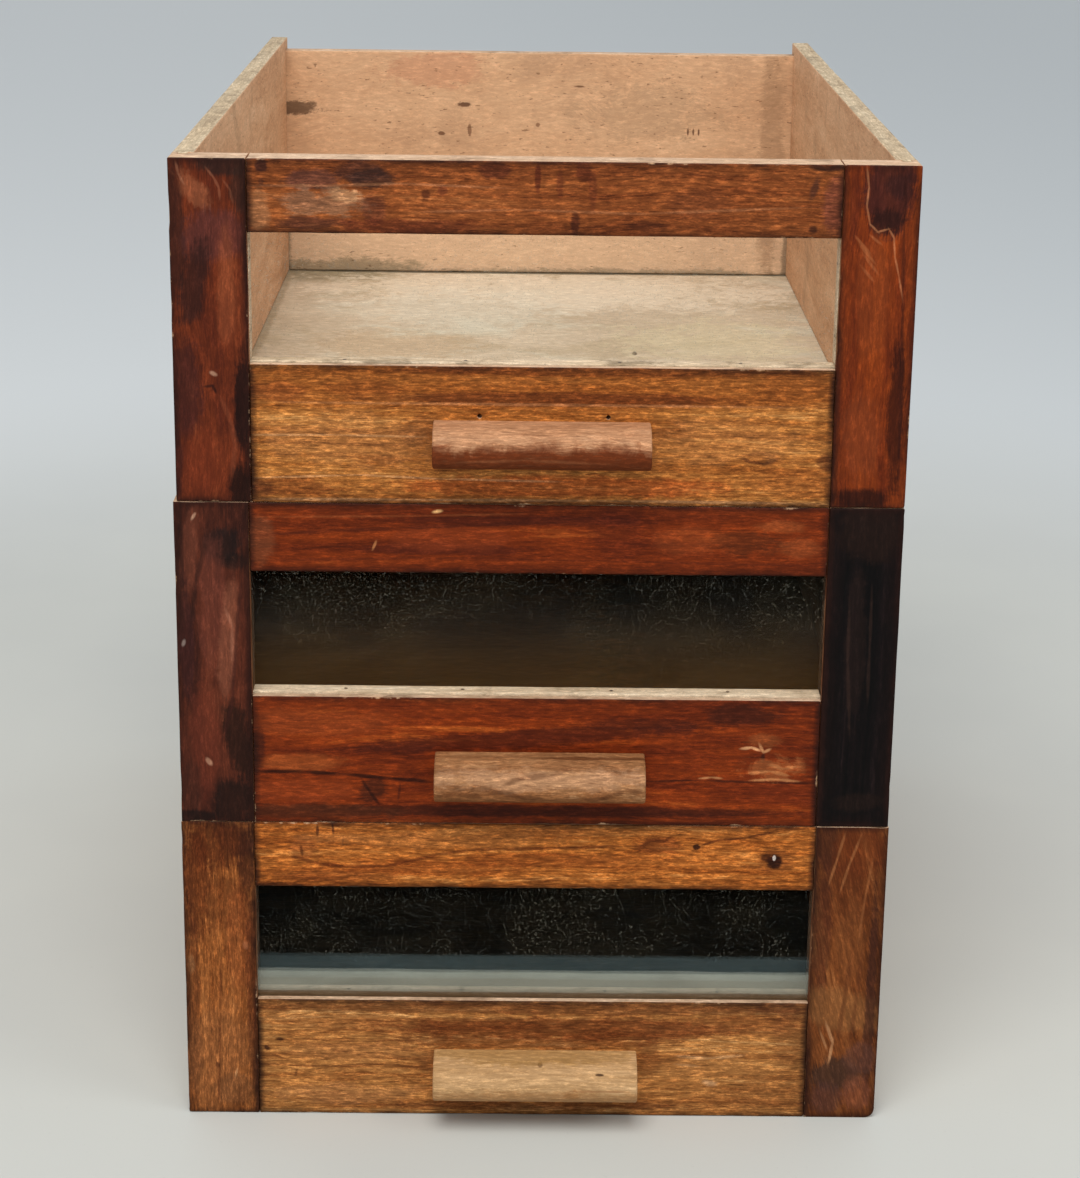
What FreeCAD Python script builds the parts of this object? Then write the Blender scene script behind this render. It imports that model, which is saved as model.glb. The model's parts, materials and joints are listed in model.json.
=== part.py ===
import FreeCAD, Part
import math
import os
import Sketcher

# Three loose shop-display drawers with glazed fronts, stacked on one another.
# Frame: +X to the right, +Y from the fronts to the backs, +Z up.
# The origin lies under the middle of the stack, handles included.

doc = FreeCAD.newDocument("display_drawers")

# Driving dimensions, in millimetres

DIMENSIONS = {
    # Outer size of a full drawer; the depth is from the front face to the rear ends of the sides
    "drawer_width": 403.0,
    "drawer_height": 190.0,
    "drawer_depth": 560.0,
    # Each drawer of the old set differs a little: what it falls short of the full size,
    # the height of its bottom rail, how far it and its handle stand to the right,
    # and how far the handle's top lies below the window
    "upper_width_loss": 3.0,
    "upper_height_loss": 0.0,
    "upper_bottom_rail": 78.0,
    "upper_shift": 0.9,
    "upper_handle_shift": 0.0,
    "upper_handle_drop": 30.3,
    "middle_width_loss": 1.0,
    "middle_height_loss": 0.0,
    "middle_bottom_rail": 76.5,
    "middle_shift": 0.0,
    "middle_handle_shift": 2.0,
    "middle_handle_drop": 32.4,
    "lower_width_loss": 0.0,
    "lower_height_loss": 4.5,
    "lower_bottom_rail": 74.0,
    "lower_shift": 0.0,
    "lower_handle_shift": 1.5,
    "lower_handle_drop": 31.4,
    # Front frame
    "frame_thickness": 19.0,
    "stile_width": 41.5,
    "top_rail": 40.0,
    # Mortise and tenon joints of the frame
    "tenon_thickness": 6.5,
    "tenon_setback": 5.5,
    "tenon_shoulder": 4.0,
    "mortise_wall": 14.5,
    "mortise_end_gap": 1.0,
    "mortise_gap": 0.1,
    # Glazing: a front lip, the pane and the beads behind it
    "lip_depth": 5.0,
    "rebate_height": 8.0,
    "glass_thickness": 3.0,
    "glass_gap": 1.0,
    "bead_gap": 0.2,
    # Sides, tongued into the backs of the stiles
    "side_thickness": 12.0,
    "tongue_inset": 4.0,
    "tongue_thickness": 5.0,
    "tongue_length": 6.0,
    "tongue_gap": 0.1,
    "groove_end_gap": 0.5,
    # Back, housed in the sides
    "back_thickness": 12.0,
    "back_setback": 3.0,
    "back_drop": 8.0,
    "housing_depth": 3.0,
    "housing_gap": 0.1,
    # Floor, in a slot round the sides and the front
    "floor_underside": 10.0,
    "floor_thickness": 6.0,
    "slot_depth": 4.0,
    "slot_gap": 0.2,
    "slot_end_gap": 0.5,
    # Batten handle: flat on top, rounded over its front
    "handle_length": 118.0,
    "handle_height": 22.0,
    "handle_projection": 25.5,
    "handle_front_radius": 15.0,
    # Wood screws that hold the handle from inside
    "screw_spacing": 70.0,
    "screw_grip": 14.0,
    "screw_head_radius": 4.0,
    "screw_head_height": 2.6,
    "screw_shank_radius": 2.1,
    "screw_core_radius": 1.5,
    "screw_point_length": 4.0,
    "screw_slot_width": 1.0,
    "screw_slot_depth": 1.1,
    # Small holes that an earlier handle left in the upper drawer
    "old_hole_radius": 1.3,
    "old_hole_depth": 8.0,
    "old_hole_rise": 2.5,
    "old_hole_offset": 1.0,
    # Panel pins of the glass beads
    "pin_radius": 0.6,
    "pin_head_radius": 1.0,
    "pin_head_height": 0.5,
    "pin_length": 14.0,
    "pin_point_length": 1.2,
    "pin_inner_offset": 42.0,
    "pin_outer_offset": 108.0,
    "pin_side_offset": 20.0,
    # Wire nails of the back and the floor
    "nail_radius": 1.0,
    "nail_head_radius": 2.2,
    "nail_head_height": 0.8,
    "nail_length": 32.0,
    "nail_point_length": 2.4,
    "nail_edge_distance": 26.0,
    "floor_nail_length": 28.0,
    "floor_nail_inner_offset": 78.0,
    "floor_nail_outer_offset": 156.0,
    "fastener_gap": 0.05,
    # Bruised lower corner of the lower drawer's right stile
    "worn_corner_radius": 6.0,
}

SHEET = "Dims"
DRAWERS = ("lower", "middle", "upper")


def write_dimensions():
    sheet = doc.addObject("Spreadsheet::Sheet", SHEET)
    for row, (alias, value) in enumerate(DIMENSIONS.items(), start=1):
        sheet.set(f"A{row}", alias)
        sheet.set(f"B{row}", str(value))
        sheet.setAlias(f"B{row}", alias)
    doc.recompute()


def dim(alias):
    return f"{SHEET}.{alias}"


# Sizes that follow from the driving ones, as expressions

FRAME_BACK = dim("frame_thickness")
GLASS_BACK = f"({dim('lip_depth')} + {dim('glass_thickness')})"
BEAD_DEPTH = f"({FRAME_BACK} - {GLASS_BACK})"
BEAD_MIDDLE = f"({GLASS_BACK} + {BEAD_DEPTH} / 2)"
TENON_LENGTH = f"({dim('stile_width')} - {dim('mortise_wall')} - {dim('mortise_end_gap')})"
FLOOR_TOP = f"({dim('floor_underside')} + {dim('floor_thickness')})"
BACK_REAR = f"({dim('drawer_depth')} - {dim('back_setback')})"
BACK_FRONT = f"({BACK_REAR} - {dim('back_thickness')})"
BACK_MIDDLE = f"({BACK_REAR} - {dim('back_thickness')} / 2)"

# Turns that point a fastener, modelled along +Z, in its driving direction

DOWN = FreeCAD.Rotation(FreeCAD.Vector(1, 0, 0), 180)
UP = FreeCAD.Rotation()
FORWARD = FreeCAD.Rotation(FreeCAD.Vector(1, 0, 0), 90)
BACKWARD = FreeCAD.Rotation(FreeCAD.Vector(1, 0, 0), -90)
RIGHT = FreeCAD.Rotation(FreeCAD.Vector(0, 1, 0), 90)
LEFT = FreeCAD.Rotation(FreeCAD.Vector(0, 1, 0), -90)


def bind(item, **expressions):
    for path, expression in expressions.items():
        item.setExpression(path, expression)


def place(item, x="0", y="0", z="0"):
    for axis, expression in (("x", x), ("y", y), ("z", z)):
        item.setExpression(f"Placement.Base.{axis}", f"1 mm * ({expression})")


def board(name, x, y, z, length, width, height):
    """A rectangular block from its lowest corner."""
    block = doc.addObject("Part::Box", name)
    bind(block, Length=length, Width=width, Height=height)
    place(block, x, y, z)
    return block


def rod(name, radius, length, start="0"):
    """A round bar along +Z that begins at height start."""
    bar = doc.addObject("Part::Cylinder", name)
    bind(bar, Radius=radius, Height=length)
    place(bar, z=start)
    return bar


def taper(name, radius_start, radius_end, length, start="0"):
    """A round taper along +Z that begins at height start."""
    cone = doc.addObject("Part::Cone", name)
    bind(cone, Radius1=radius_start, Radius2=radius_end, Height=length)
    place(cone, z=start)
    return cone


def joined(name, pieces):
    union = doc.addObject("Part::MultiFuse", name)
    union.Shapes = pieces
    return union


def gathered(name, pieces):
    group = doc.addObject("Part::Compound", name)
    group.Links = pieces
    return group


def carved(name, base, cutters):
    """The base less every cutter."""
    cut = doc.addObject("Part::Cut", name)
    cut.Base = base
    cut.Tool = cutters[0] if len(cutters) == 1 else gathered(name + "_cutters", cutters)
    return cut


def turned(item, rotation, x, y, z):
    item.Placement = FreeCAD.Placement(FreeCAD.Vector(), rotation)
    place(item, x, y, z)
    return item


# Fasteners, each as the metal piece and the slightly wider hole that takes it

def nail(name, kind, length, rotation, x, y, z):
    """A round nail with a flat head; kind is pin or nail."""
    radius = dim(f"{kind}_radius")
    head = dim(f"{kind}_head_radius")
    head_height = dim(f"{kind}_head_height")
    point = dim(f"{kind}_point_length")
    gap = dim("fastener_gap")
    metal = joined(name, [
        rod(name + "_head", head, head_height),
        rod(name + "_shank", radius, f"{length} - {point}"),
        taper(name + "_point", radius, f"{radius} / 5", point, f"{length} - {point}"),
    ])
    hole = joined(name + "_hole", [
        rod(name + "_recess", f"{head} + {gap}", f"{head_height} + {gap}"),
        rod(name + "_bore", f"{radius} + {gap}", f"{length} + {gap}"),
    ])
    turned(metal, rotation, x, y, z)
    turned(hole, rotation, x, y, z)
    return metal, hole


def screw(name, x, z):
    """A slotted countersunk wood screw, driven forward from the frame's back."""
    head, head_height = dim("screw_head_radius"), dim("screw_head_height")
    shank, core = dim("screw_shank_radius"), dim("screw_core_radius")
    point, gap = dim("screw_point_length"), dim("fastener_gap")
    length = f"({FRAME_BACK} + {dim('screw_grip')})"
    slot = board(name + "_slot", f"-{head} - 1", f"-{dim('screw_slot_width')} / 2", "0",
                 f"2 * {head} + 2", dim("screw_slot_width"), dim("screw_slot_depth"))
    blank = joined(name + "_blank", [
        taper(name + "_head", head, shank, head_height),
        rod(name + "_shank", shank, FRAME_BACK),
        rod(name + "_core", core, f"{dim('screw_grip')} - {point}", FRAME_BACK),
        taper(name + "_point", core, f"{core} / 6", point, f"{length} - {point}"),
    ])
    hole = joined(name + "_hole", [
        taper(name + "_sink", f"{head} + {gap}", f"{shank} + {gap}", f"{head_height} + {gap}"),
        rod(name + "_bore", f"{shank} + {gap}", FRAME_BACK),
    ])
    metal = carved(name, blank, [slot])
    turned(metal, FORWARD, x, FRAME_BACK, z)
    turned(hole, FORWARD, x, FRAME_BACK, z)
    return metal, hole


def height_of(name):
    return f"({dim('drawer_height')} - {dim(name + '_height_loss')})"


class Drawer:
    """One drawer's own sizes and place in the stack, as expressions."""

    def __init__(self, name):
        below = DRAWERS[:DRAWERS.index(name)]
        self.prefix = f"{name}_drawer"
        self.is_upper = name == DRAWERS[-1]
        self.is_lower = name == DRAWERS[0]
        self.half_width = f"(({dim('drawer_width')} - {dim(name + '_width_loss')}) / 2)"
        self.height = height_of(name)
        self.sill = dim(name + "_bottom_rail")
        self.head = f"({self.height} - {dim('top_rail')})"
        self.back_top = f"({self.height} - {dim('back_drop')})"
        self.inner_half = f"({self.half_width} - {dim('side_thickness')})"
        self.window_half = f"({self.half_width} - {dim('stile_width')})"
        self.rebate_half = f"({self.window_half} + {dim('rebate_height')})"
        self.handle_x = dim(name + "_handle_shift")
        self.handle_z = f"({self.sill} - {dim(name + '_handle_drop')} - {dim('handle_height')})"
        self.screw_z = f"({self.handle_z} + {dim('handle_height')} / 2)"
        self.x = dim(name + "_shift")
        self.y = f"(({dim('handle_projection')} - {dim('drawer_depth')}) / 2)"
        self.z = " + ".join(height_of(each) for each in below) or "0"
        self.pieces = []

    def helper(self, name):
        return f"{self.prefix}_{name}_shape"

    def keep(self, item, name, x="0", y="0", z="0"):
        """Name a finished piece and set it in its place in the stack."""
        item.Label = f"{self.prefix}_{name}"
        place(item, f"{self.x} + {x}", f"{self.y} + {y}", f"{self.z} + {z}")
        self.pieces.append(item)
        return item


def from_left(drawer, side, start, length):
    """X of a block of that length which starts so far in from the outer face."""
    if side == "left":
        return f"{start} - {drawer.half_width}"
    return f"{drawer.half_width} - ({start}) - ({length})"


def floor_slot(drawer):
    half = f"({drawer.inner_half} + {dim('slot_depth')})"
    front = f"({FRAME_BACK} - {dim('slot_depth')})"
    return board(drawer.helper("floor_slot"), f"-{half}", front, dim("floor_underside"),
                 f"2 * {half}", f"{dim('drawer_depth')} - {front}",
                 f"{dim('floor_thickness')} + {dim('slot_gap')}")


def tenon_span(drawer, rail):
    """Lower and upper height of a rail's tenons."""
    shoulder, rebate = dim("tenon_shoulder"), dim("rebate_height")
    if rail == "bottom":
        return f"({FLOOR_TOP} + {shoulder})", f"({drawer.sill} - {rebate} - {shoulder})"
    return f"({drawer.head} + {rebate} + {shoulder})", f"({drawer.height} - {shoulder})"


def mortise(drawer, side, rail):
    low, high = tenon_span(drawer, rail)
    gap = dim("mortise_gap")
    depth = f"({dim('stile_width')} - {dim('mortise_wall')})"
    return board(drawer.helper(f"{side}_{rail}_mortise"),
                 from_left(drawer, side, dim("mortise_wall"), depth),
                 f"{dim('tenon_setback')} - {gap}", f"{low} - {gap}",
                 depth, f"{dim('tenon_thickness')} + 2 * {gap}", f"{high} - {low} + 2 * {gap}")


def worn_corner(drawer):
    """What a rounded lower outer corner takes from the right stile."""
    radius = dim("worn_corner_radius")
    centre = f"{drawer.half_width} - {radius}"
    block = board(drawer.helper("corner_block"), centre, "0", "0", radius, FRAME_BACK, radius)
    round_bar = rod(drawer.helper("corner_round"), radius, FRAME_BACK)
    turned(round_bar, BACKWARD, centre, "0", radius)
    return carved(drawer.helper("corner_waste"), block, [round_bar])


def make_stile(drawer, side, slot, pin_holes):
    width, rebate = dim("stile_width"), dim("rebate_height")
    lip, gap = dim("lip_depth"), dim("tongue_gap")
    blank = board(drawer.helper(f"{side}_stile_blank"), from_left(drawer, side, "0", width),
                  "0", "0", width, FRAME_BACK, drawer.height)
    glass_rebate = board(drawer.helper(f"{side}_stile_rebate"),
                         from_left(drawer, side, f"{width} - {rebate}", rebate), lip,
                         f"{drawer.sill} - {rebate}", rebate, f"{FRAME_BACK} - {lip}",
                         f"{drawer.head} - {drawer.sill} + 2 * {rebate}")
    groove_width = f"({dim('tongue_thickness')} + 2 * {gap})"
    groove_depth = f"({dim('tongue_length')} + {dim('groove_end_gap')})"
    groove = board(drawer.helper(f"{side}_stile_groove"),
                   from_left(drawer, side, f"({dim('tongue_inset')} - {gap})", groove_width),
                   f"{FRAME_BACK} - {groove_depth}", "0", groove_width, groove_depth, drawer.height)
    cutters = [glass_rebate, groove, slot, mortise(drawer, side, "top"),
               mortise(drawer, side, "bottom")] + pin_holes
    if drawer.is_lower and side == "right":
        cutters.append(worn_corner(drawer))
    stile = carved(drawer.helper(f"{side}_stile"), blank, cutters)
    return drawer.keep(stile, f"{side}_stile")


def make_rail(drawer, rail, cutters):
    rebate, lip = dim("rebate_height"), dim("lip_depth")
    low, high = tenon_span(drawer, rail)
    bottom = "0" if rail == "bottom" else drawer.head
    top = drawer.sill if rail == "bottom" else drawer.height
    rebate_low = f"{drawer.sill} - {rebate}" if rail == "bottom" else drawer.head
    body = board(drawer.helper(f"{rail}_rail_body"), f"-{drawer.window_half}", "0", bottom,
                 f"2 * {drawer.window_half}", FRAME_BACK, f"{top} - {bottom}")
    tenon_half = f"({drawer.window_half} + {TENON_LENGTH})"
    tenons = board(drawer.helper(f"{rail}_rail_tenons"), f"-{tenon_half}", dim("tenon_setback"),
                   low, f"2 * {tenon_half}", dim("tenon_thickness"), f"{high} - {low}")
    glass_rebate = board(drawer.helper(f"{rail}_rail_rebate"), f"-{drawer.window_half}", lip,
                         rebate_low, f"2 * {drawer.window_half}", f"{FRAME_BACK} - {lip}", rebate)
    blank = joined(drawer.helper(f"{rail}_rail_blank"), [body, tenons])
    finished = carved(drawer.helper(f"{rail}_rail"), blank, [glass_rebate] + cutters)
    return drawer.keep(finished, f"{rail}_rail")


def make_glass(drawer):
    gap, rebate = dim("glass_gap"), dim("rebate_height")
    half = f"({drawer.rebate_half} - {gap})"
    low = f"({drawer.sill} - {rebate} + {gap})"
    pane = doc.addObject("Part::Box", drawer.helper("glass_pane"))
    bind(pane, Length=f"2 * {half}", Width=dim("glass_thickness"),
         Height=f"{drawer.head} + {rebate} - {gap} - {low}")
    return drawer.keep(pane, "glass_pane", f"-{half}", dim("lip_depth"), low)


def make_beads(drawer, pin_holes):
    """The four strips that hold the pane, flush with the edge of the window."""
    rebate, gap = dim("rebate_height"), dim("bead_gap")
    long_half = f"({drawer.rebate_half} - {gap})"
    for name, low in (("bottom", f"{drawer.sill} - {rebate}"), ("top", drawer.head)):
        blank = board(drawer.helper(f"{name}_bead_blank"), f"-{long_half}", GLASS_BACK, low,
                      f"2 * {long_half}", BEAD_DEPTH, rebate)
        drawer.keep(carved(drawer.helper(f"{name}_bead"), blank, pin_holes[name]),
                    f"{name}_bead")
    for name in ("left", "right"):
        inset = f"({dim('stile_width')} - {rebate})"
        blank = board(drawer.helper(f"{name}_bead_blank"),
                      from_left(drawer, name, inset, rebate), GLASS_BACK,
                      f"{drawer.sill} + {gap}", rebate, BEAD_DEPTH,
                      f"{drawer.head} - {drawer.sill} - 2 * {gap}")
        drawer.keep(carved(drawer.helper(f"{name}_bead"), blank, pin_holes[name]),
                    f"{name}_bead")


def mirrored_offsets(*aliases):
    """Places to the right and the left of the drawer's middle."""
    return [f"{sign}{dim(alias)}" for alias in aliases for sign in ("", "-")]


def make_bead_pins(drawer):
    """The pins of all four beads, and their holes by bead."""
    length = dim("pin_length")
    pins, holes = [], {"bottom": [], "top": [], "left": [], "right": []}
    offsets = mirrored_offsets("pin_inner_offset", "pin_outer_offset")
    for name, turn, height in (("bottom", DOWN, drawer.sill), ("top", UP, drawer.head)):
        for count, offset in enumerate(offsets, start=1):
            metal, hole = nail(drawer.helper(f"{name}_pin_{count}"), "pin", length, turn,
                               offset, BEAD_MIDDLE, height)
            pins.append(metal)
            holes[name].append(hole)
    middle = f"({drawer.sill} + {drawer.head}) / 2"
    for name, turn, edge in (("left", LEFT, f"-{drawer.window_half}"),
                             ("right", RIGHT, drawer.window_half)):
        for count, sign in enumerate(("-", "+"), start=1):
            metal, hole = nail(drawer.helper(f"{name}_pin_{count}"), "pin", length, turn,
                               edge, BEAD_MIDDLE, f"{middle} {sign} {dim('pin_side_offset')}")
            pins.append(metal)
            holes[name].append(hole)
    drawer.keep(gathered(drawer.helper("bead_pins"), pins), "bead_pins")
    return holes


def make_side_nails(drawer):
    """Nails through the sides into the ends of the back, and their holes by side."""
    length, edge = dim("nail_length"), dim("nail_edge_distance")
    heights = (f"{FLOOR_TOP} + {edge}", f"({FLOOR_TOP} + {drawer.back_top}) / 2",
               f"{drawer.back_top} - {edge}")
    nails, holes = [], {"left": [], "right": []}
    for side, turn, face in (("left", RIGHT, f"-{drawer.half_width}"),
                             ("right", LEFT, drawer.half_width)):
        for count, height in enumerate(heights, start=1):
            metal, hole = nail(drawer.helper(f"{side}_nail_{count}"), "nail", length, turn,
                               face, BACK_MIDDLE, height)
            nails.append(metal)
            holes[side].append(hole)
    drawer.keep(gathered(drawer.helper("side_nails"), nails), "side_nails")
    return holes


def make_floor_nails(drawer):
    """Nails up through the floor into the lower edge of the back."""
    offsets = mirrored_offsets("floor_nail_inner_offset", "floor_nail_outer_offset")
    nails, holes = [], []
    for count, offset in enumerate(["0"] + offsets, start=1):
        metal, hole = nail(drawer.helper(f"floor_nail_{count}"), "nail",
                           dim("floor_nail_length"), UP, offset, BACK_MIDDLE,
                           dim("floor_underside"))
        nails.append(metal)
        holes.append(hole)
    drawer.keep(gathered(drawer.helper("floor_nails"), nails), "floor_nails")
    return holes


def make_side(drawer, side, slot, nail_holes):
    thickness, tongue = dim("side_thickness"), dim("tongue_length")
    inset, housing = dim("tongue_inset"), dim("housing_depth")
    gap = dim("housing_gap")
    front = f"({FRAME_BACK} - {tongue})"
    blank = board(drawer.helper(f"{side}_side_blank"), from_left(drawer, side, "0", thickness),
                  front, "0", thickness, f"{dim('drawer_depth')} - {front}", drawer.height)
    outer_shoulder = board(drawer.helper(f"{side}_side_outer_shoulder"),
                           from_left(drawer, side, "0", inset), front, "0",
                           inset, tongue, drawer.height)
    shoulder_start = f"({inset} + {dim('tongue_thickness')})"
    shoulder_width = f"({thickness} - {shoulder_start})"
    inner_shoulder = board(drawer.helper(f"{side}_side_inner_shoulder"),
                           from_left(drawer, side, shoulder_start, shoulder_width), front, "0",
                           shoulder_width, tongue, drawer.height)
    back_housing = board(drawer.helper(f"{side}_side_housing"),
                         from_left(drawer, side, f"{thickness} - {housing}", housing),
                         f"{BACK_FRONT} - {gap}", FLOOR_TOP, housing,
                         f"{dim('back_thickness')} + 2 * {gap}",
                         f"{drawer.back_top} - {FLOOR_TOP}")
    cutters = [outer_shoulder, inner_shoulder, back_housing, slot] + nail_holes
    return drawer.keep(carved(drawer.helper(f"{side}_side"), blank, cutters), f"{side}_side")


def make_back(drawer, nail_holes):
    half = f"({drawer.inner_half} + {dim('housing_depth')} - {dim('housing_gap')})"
    blank = board(drawer.helper("back_blank"), f"-{half}", BACK_FRONT, FLOOR_TOP,
                  f"2 * {half}", dim("back_thickness"), f"{drawer.back_top} - {FLOOR_TOP}")
    return drawer.keep(carved(drawer.helper("back"), blank, nail_holes), "back_panel")


def make_floor(drawer, nail_holes):
    half = f"({drawer.inner_half} + {dim('slot_depth')} - {dim('slot_end_gap')})"
    front = f"({FRAME_BACK} - {dim('slot_depth')} + {dim('slot_end_gap')})"
    blank = board(drawer.helper("floor_blank"), f"-{half}", front, dim("floor_underside"),
                  f"2 * {half}", f"{BACK_REAR} - {front}", dim("floor_thickness"))
    return drawer.keep(carved(drawer.helper("floor"), blank, nail_holes), "floor_panel")


def origin_plane(body, role):
    return next(item for item in body.Origin.OriginFeatures if item.Role == role)


def handle_section(body):
    """Section in the YZ plane: wall, flat top, large front round, small lower round, base."""
    height, projection = DIMENSIONS["handle_height"], DIMENSIONS["handle_projection"]
    radius = DIMENSIONS["handle_front_radius"]
    ease = height - radius
    point = FreeCAD.Vector
    wall_foot, wall_top = point(0, 0, 0), point(0, height, 0)
    flat_end = point(radius - projection, height, 0)
    base_end = point(ease - projection, 0, 0)
    front_centre = point(radius - projection, ease, 0)
    ease_centre = point(ease - projection, ease, 0)
    normal = point(0, 0, 1)
    quarter = math.pi / 2
    sketch = body.newObject("Sketcher::SketchObject", body.Name + "_section")
    sketch.AttachmentSupport = (origin_plane(body, "YZ_Plane"), [""])
    sketch.MapMode = "FlatFace"
    wall = sketch.addGeometry(Part.LineSegment(wall_foot, wall_top))
    top = sketch.addGeometry(Part.LineSegment(wall_top, flat_end))
    front = sketch.addGeometry(Part.ArcOfCircle(Part.Circle(front_centre, normal, radius),
                                                quarter, 2 * quarter))
    lower = sketch.addGeometry(Part.ArcOfCircle(Part.Circle(ease_centre, normal, ease),
                                                2 * quarter, 3 * quarter))
    base = sketch.addGeometry(Part.LineSegment(base_end, wall_foot))
    # In a constraint, 1 is an edge's start, 2 its end and 3 its centre; -1, 1 is the origin
    constraint = Sketcher.Constraint
    for each in (("Coincident", wall, 1, -1, 1), ("Coincident", wall, 2, top, 1),
                 ("Coincident", base, 2, wall, 1), ("Vertical", wall), ("Horizontal", top),
                 ("Horizontal", base), ("Tangent", top, 2, front, 1),
                 ("Tangent", front, 2, lower, 1), ("Tangent", lower, 2, base, 1)):
        sketch.addConstraint(constraint(*each))
    sizes = ((constraint("DistanceY", wall, 1, wall, 2, height), "handle_height"),
             (constraint("Radius", front, radius), "handle_front_radius"),
             (constraint("DistanceX", front, 2, wall, 1, projection), "handle_projection"))
    for each, alias in sizes:
        index = sketch.addConstraint(each)
        sketch.setExpression(f"Constraints[{index}]", dim(alias))
    sketch.addConstraint(constraint("Horizontal", front, 3, front, 2))
    return sketch


def handle_holes(body):
    """Two pilot holes, drawn on the handle's flat back."""
    spacing, height = DIMENSIONS["screw_spacing"], DIMENSIONS["handle_height"]
    radius = DIMENSIONS["screw_core_radius"]
    sketch = body.newObject("Sketcher::SketchObject", body.Name + "_hole_circles")
    sketch.AttachmentSupport = (origin_plane(body, "XZ_Plane"), [""])
    sketch.MapMode = "FlatFace"
    constraint = Sketcher.Constraint
    for side in (-1, 1):
        centre = FreeCAD.Vector(side * spacing / 2, height / 2, 0)
        circle = sketch.addGeometry(Part.Circle(centre, FreeCAD.Vector(0, 0, 1), radius))
        ends = (circle, 3, -1, 1) if side < 0 else (-1, 1, circle, 3)
        across = sketch.addConstraint(constraint("DistanceX", *ends, spacing / 2))
        rise = sketch.addConstraint(constraint("DistanceY", -1, 1, circle, 3, height / 2))
        bore = sketch.addConstraint(constraint("Radius", circle, radius))
        sketch.setExpression(f"Constraints[{across}]", f"{dim('screw_spacing')} / 2")
        sketch.setExpression(f"Constraints[{rise}]", f"{dim('handle_height')} / 2")
        sketch.setExpression(f"Constraints[{bore}]",
                             f"{dim('screw_core_radius')} + {dim('fastener_gap')}")
    return sketch


def make_handle(drawer):
    body = doc.addObject("PartDesign::Body", drawer.helper("handle"))
    pad = body.newObject("PartDesign::Pad", body.Name + "_pad")
    pad.Profile = handle_section(body)
    pad.Midplane = True
    pad.setExpression("Length", dim("handle_length"))
    doc.recompute()
    solid_volume = body.Shape.Volume
    pocket = body.newObject("PartDesign::Pocket", body.Name + "_pilot_holes")
    pocket.Profile = handle_holes(body)
    pocket.Reversed = True
    pocket.setExpression("Length", f"{dim('screw_grip')} + {dim('fastener_gap')}")
    doc.recompute()
    if body.Shape.Volume >= solid_volume:
        raise ValueError(f"{body.Name} has no pilot holes")
    return drawer.keep(body, "handle", drawer.handle_x, "0", drawer.handle_z)


def make_handle_screws(drawer):
    screws, holes = [], []
    for count, sign in enumerate(("-", "+"), start=1):
        metal, hole = screw(drawer.helper(f"handle_screw_{count}"),
                            f"{drawer.handle_x} {sign} {dim('screw_spacing')} / 2", drawer.screw_z)
        screws.append(metal)
        holes.append(hole)
    drawer.keep(gathered(drawer.helper("handle_screws"), screws), "handle_screws")
    return holes


def old_handle_holes(drawer):
    """Two short holes just above the handle, from the front face."""
    height = f"{drawer.handle_z} + {dim('handle_height')} + {dim('old_hole_rise')}"
    holes = []
    for count, sign in enumerate(("-", "+"), start=1):
        hole = rod(drawer.helper(f"old_hole_{count}"), dim("old_hole_radius"),
                   dim("old_hole_depth"))
        holes.append(turned(hole, BACKWARD,
                            f"{dim('old_hole_offset')} {sign} {dim('screw_spacing')} / 2",
                            "0", height))
    return holes


def make_drawer(name):
    drawer = Drawer(name)
    slot = floor_slot(drawer)
    pin_holes = make_bead_pins(drawer)
    side_nail_holes = make_side_nails(drawer)
    floor_nail_holes = make_floor_nails(drawer)
    rail_holes = make_handle_screws(drawer)
    if drawer.is_upper:
        rail_holes = rail_holes + old_handle_holes(drawer)
    for side in ("left", "right"):
        make_stile(drawer, side, slot, pin_holes[side])
        make_side(drawer, side, slot, side_nail_holes[side])
    make_rail(drawer, "top", pin_holes["top"])
    make_rail(drawer, "bottom", [slot] + pin_holes["bottom"] + rail_holes)
    make_glass(drawer)
    make_beads(drawer, pin_holes)
    make_back(drawer, side_nail_holes["left"] + side_nail_holes["right"] + floor_nail_holes)
    make_floor(drawer, floor_nail_holes)
    make_handle(drawer)
    return drawer.pieces


def check_and_write(pieces):
    doc.recompute()
    for item in doc.Objects:
        if {"Invalid", "Error"} & set(item.State):
            raise ValueError(f"{item.Label} failed to build")
    for piece in pieces:
        if piece.Shape.isNull() or not piece.Shape.isValid():
            raise ValueError(f"{piece.Label} has no valid shape")
    os.makedirs("parts", exist_ok=True)
    for piece in pieces:
        piece.Shape.exportStep(os.path.join("parts", piece.Label + ".step"))


write_dimensions()
all_pieces = [piece for name in DRAWERS for piece in make_drawer(name)]
check_and_write(all_pieces)
for piece in all_pieces:
    print(piece.Label, len(piece.Shape.Solids), round(piece.Shape.Volume, 1))
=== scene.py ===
import bpy
import bmesh
import json
import math
from mathutils import Matrix, Vector, noise

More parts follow.
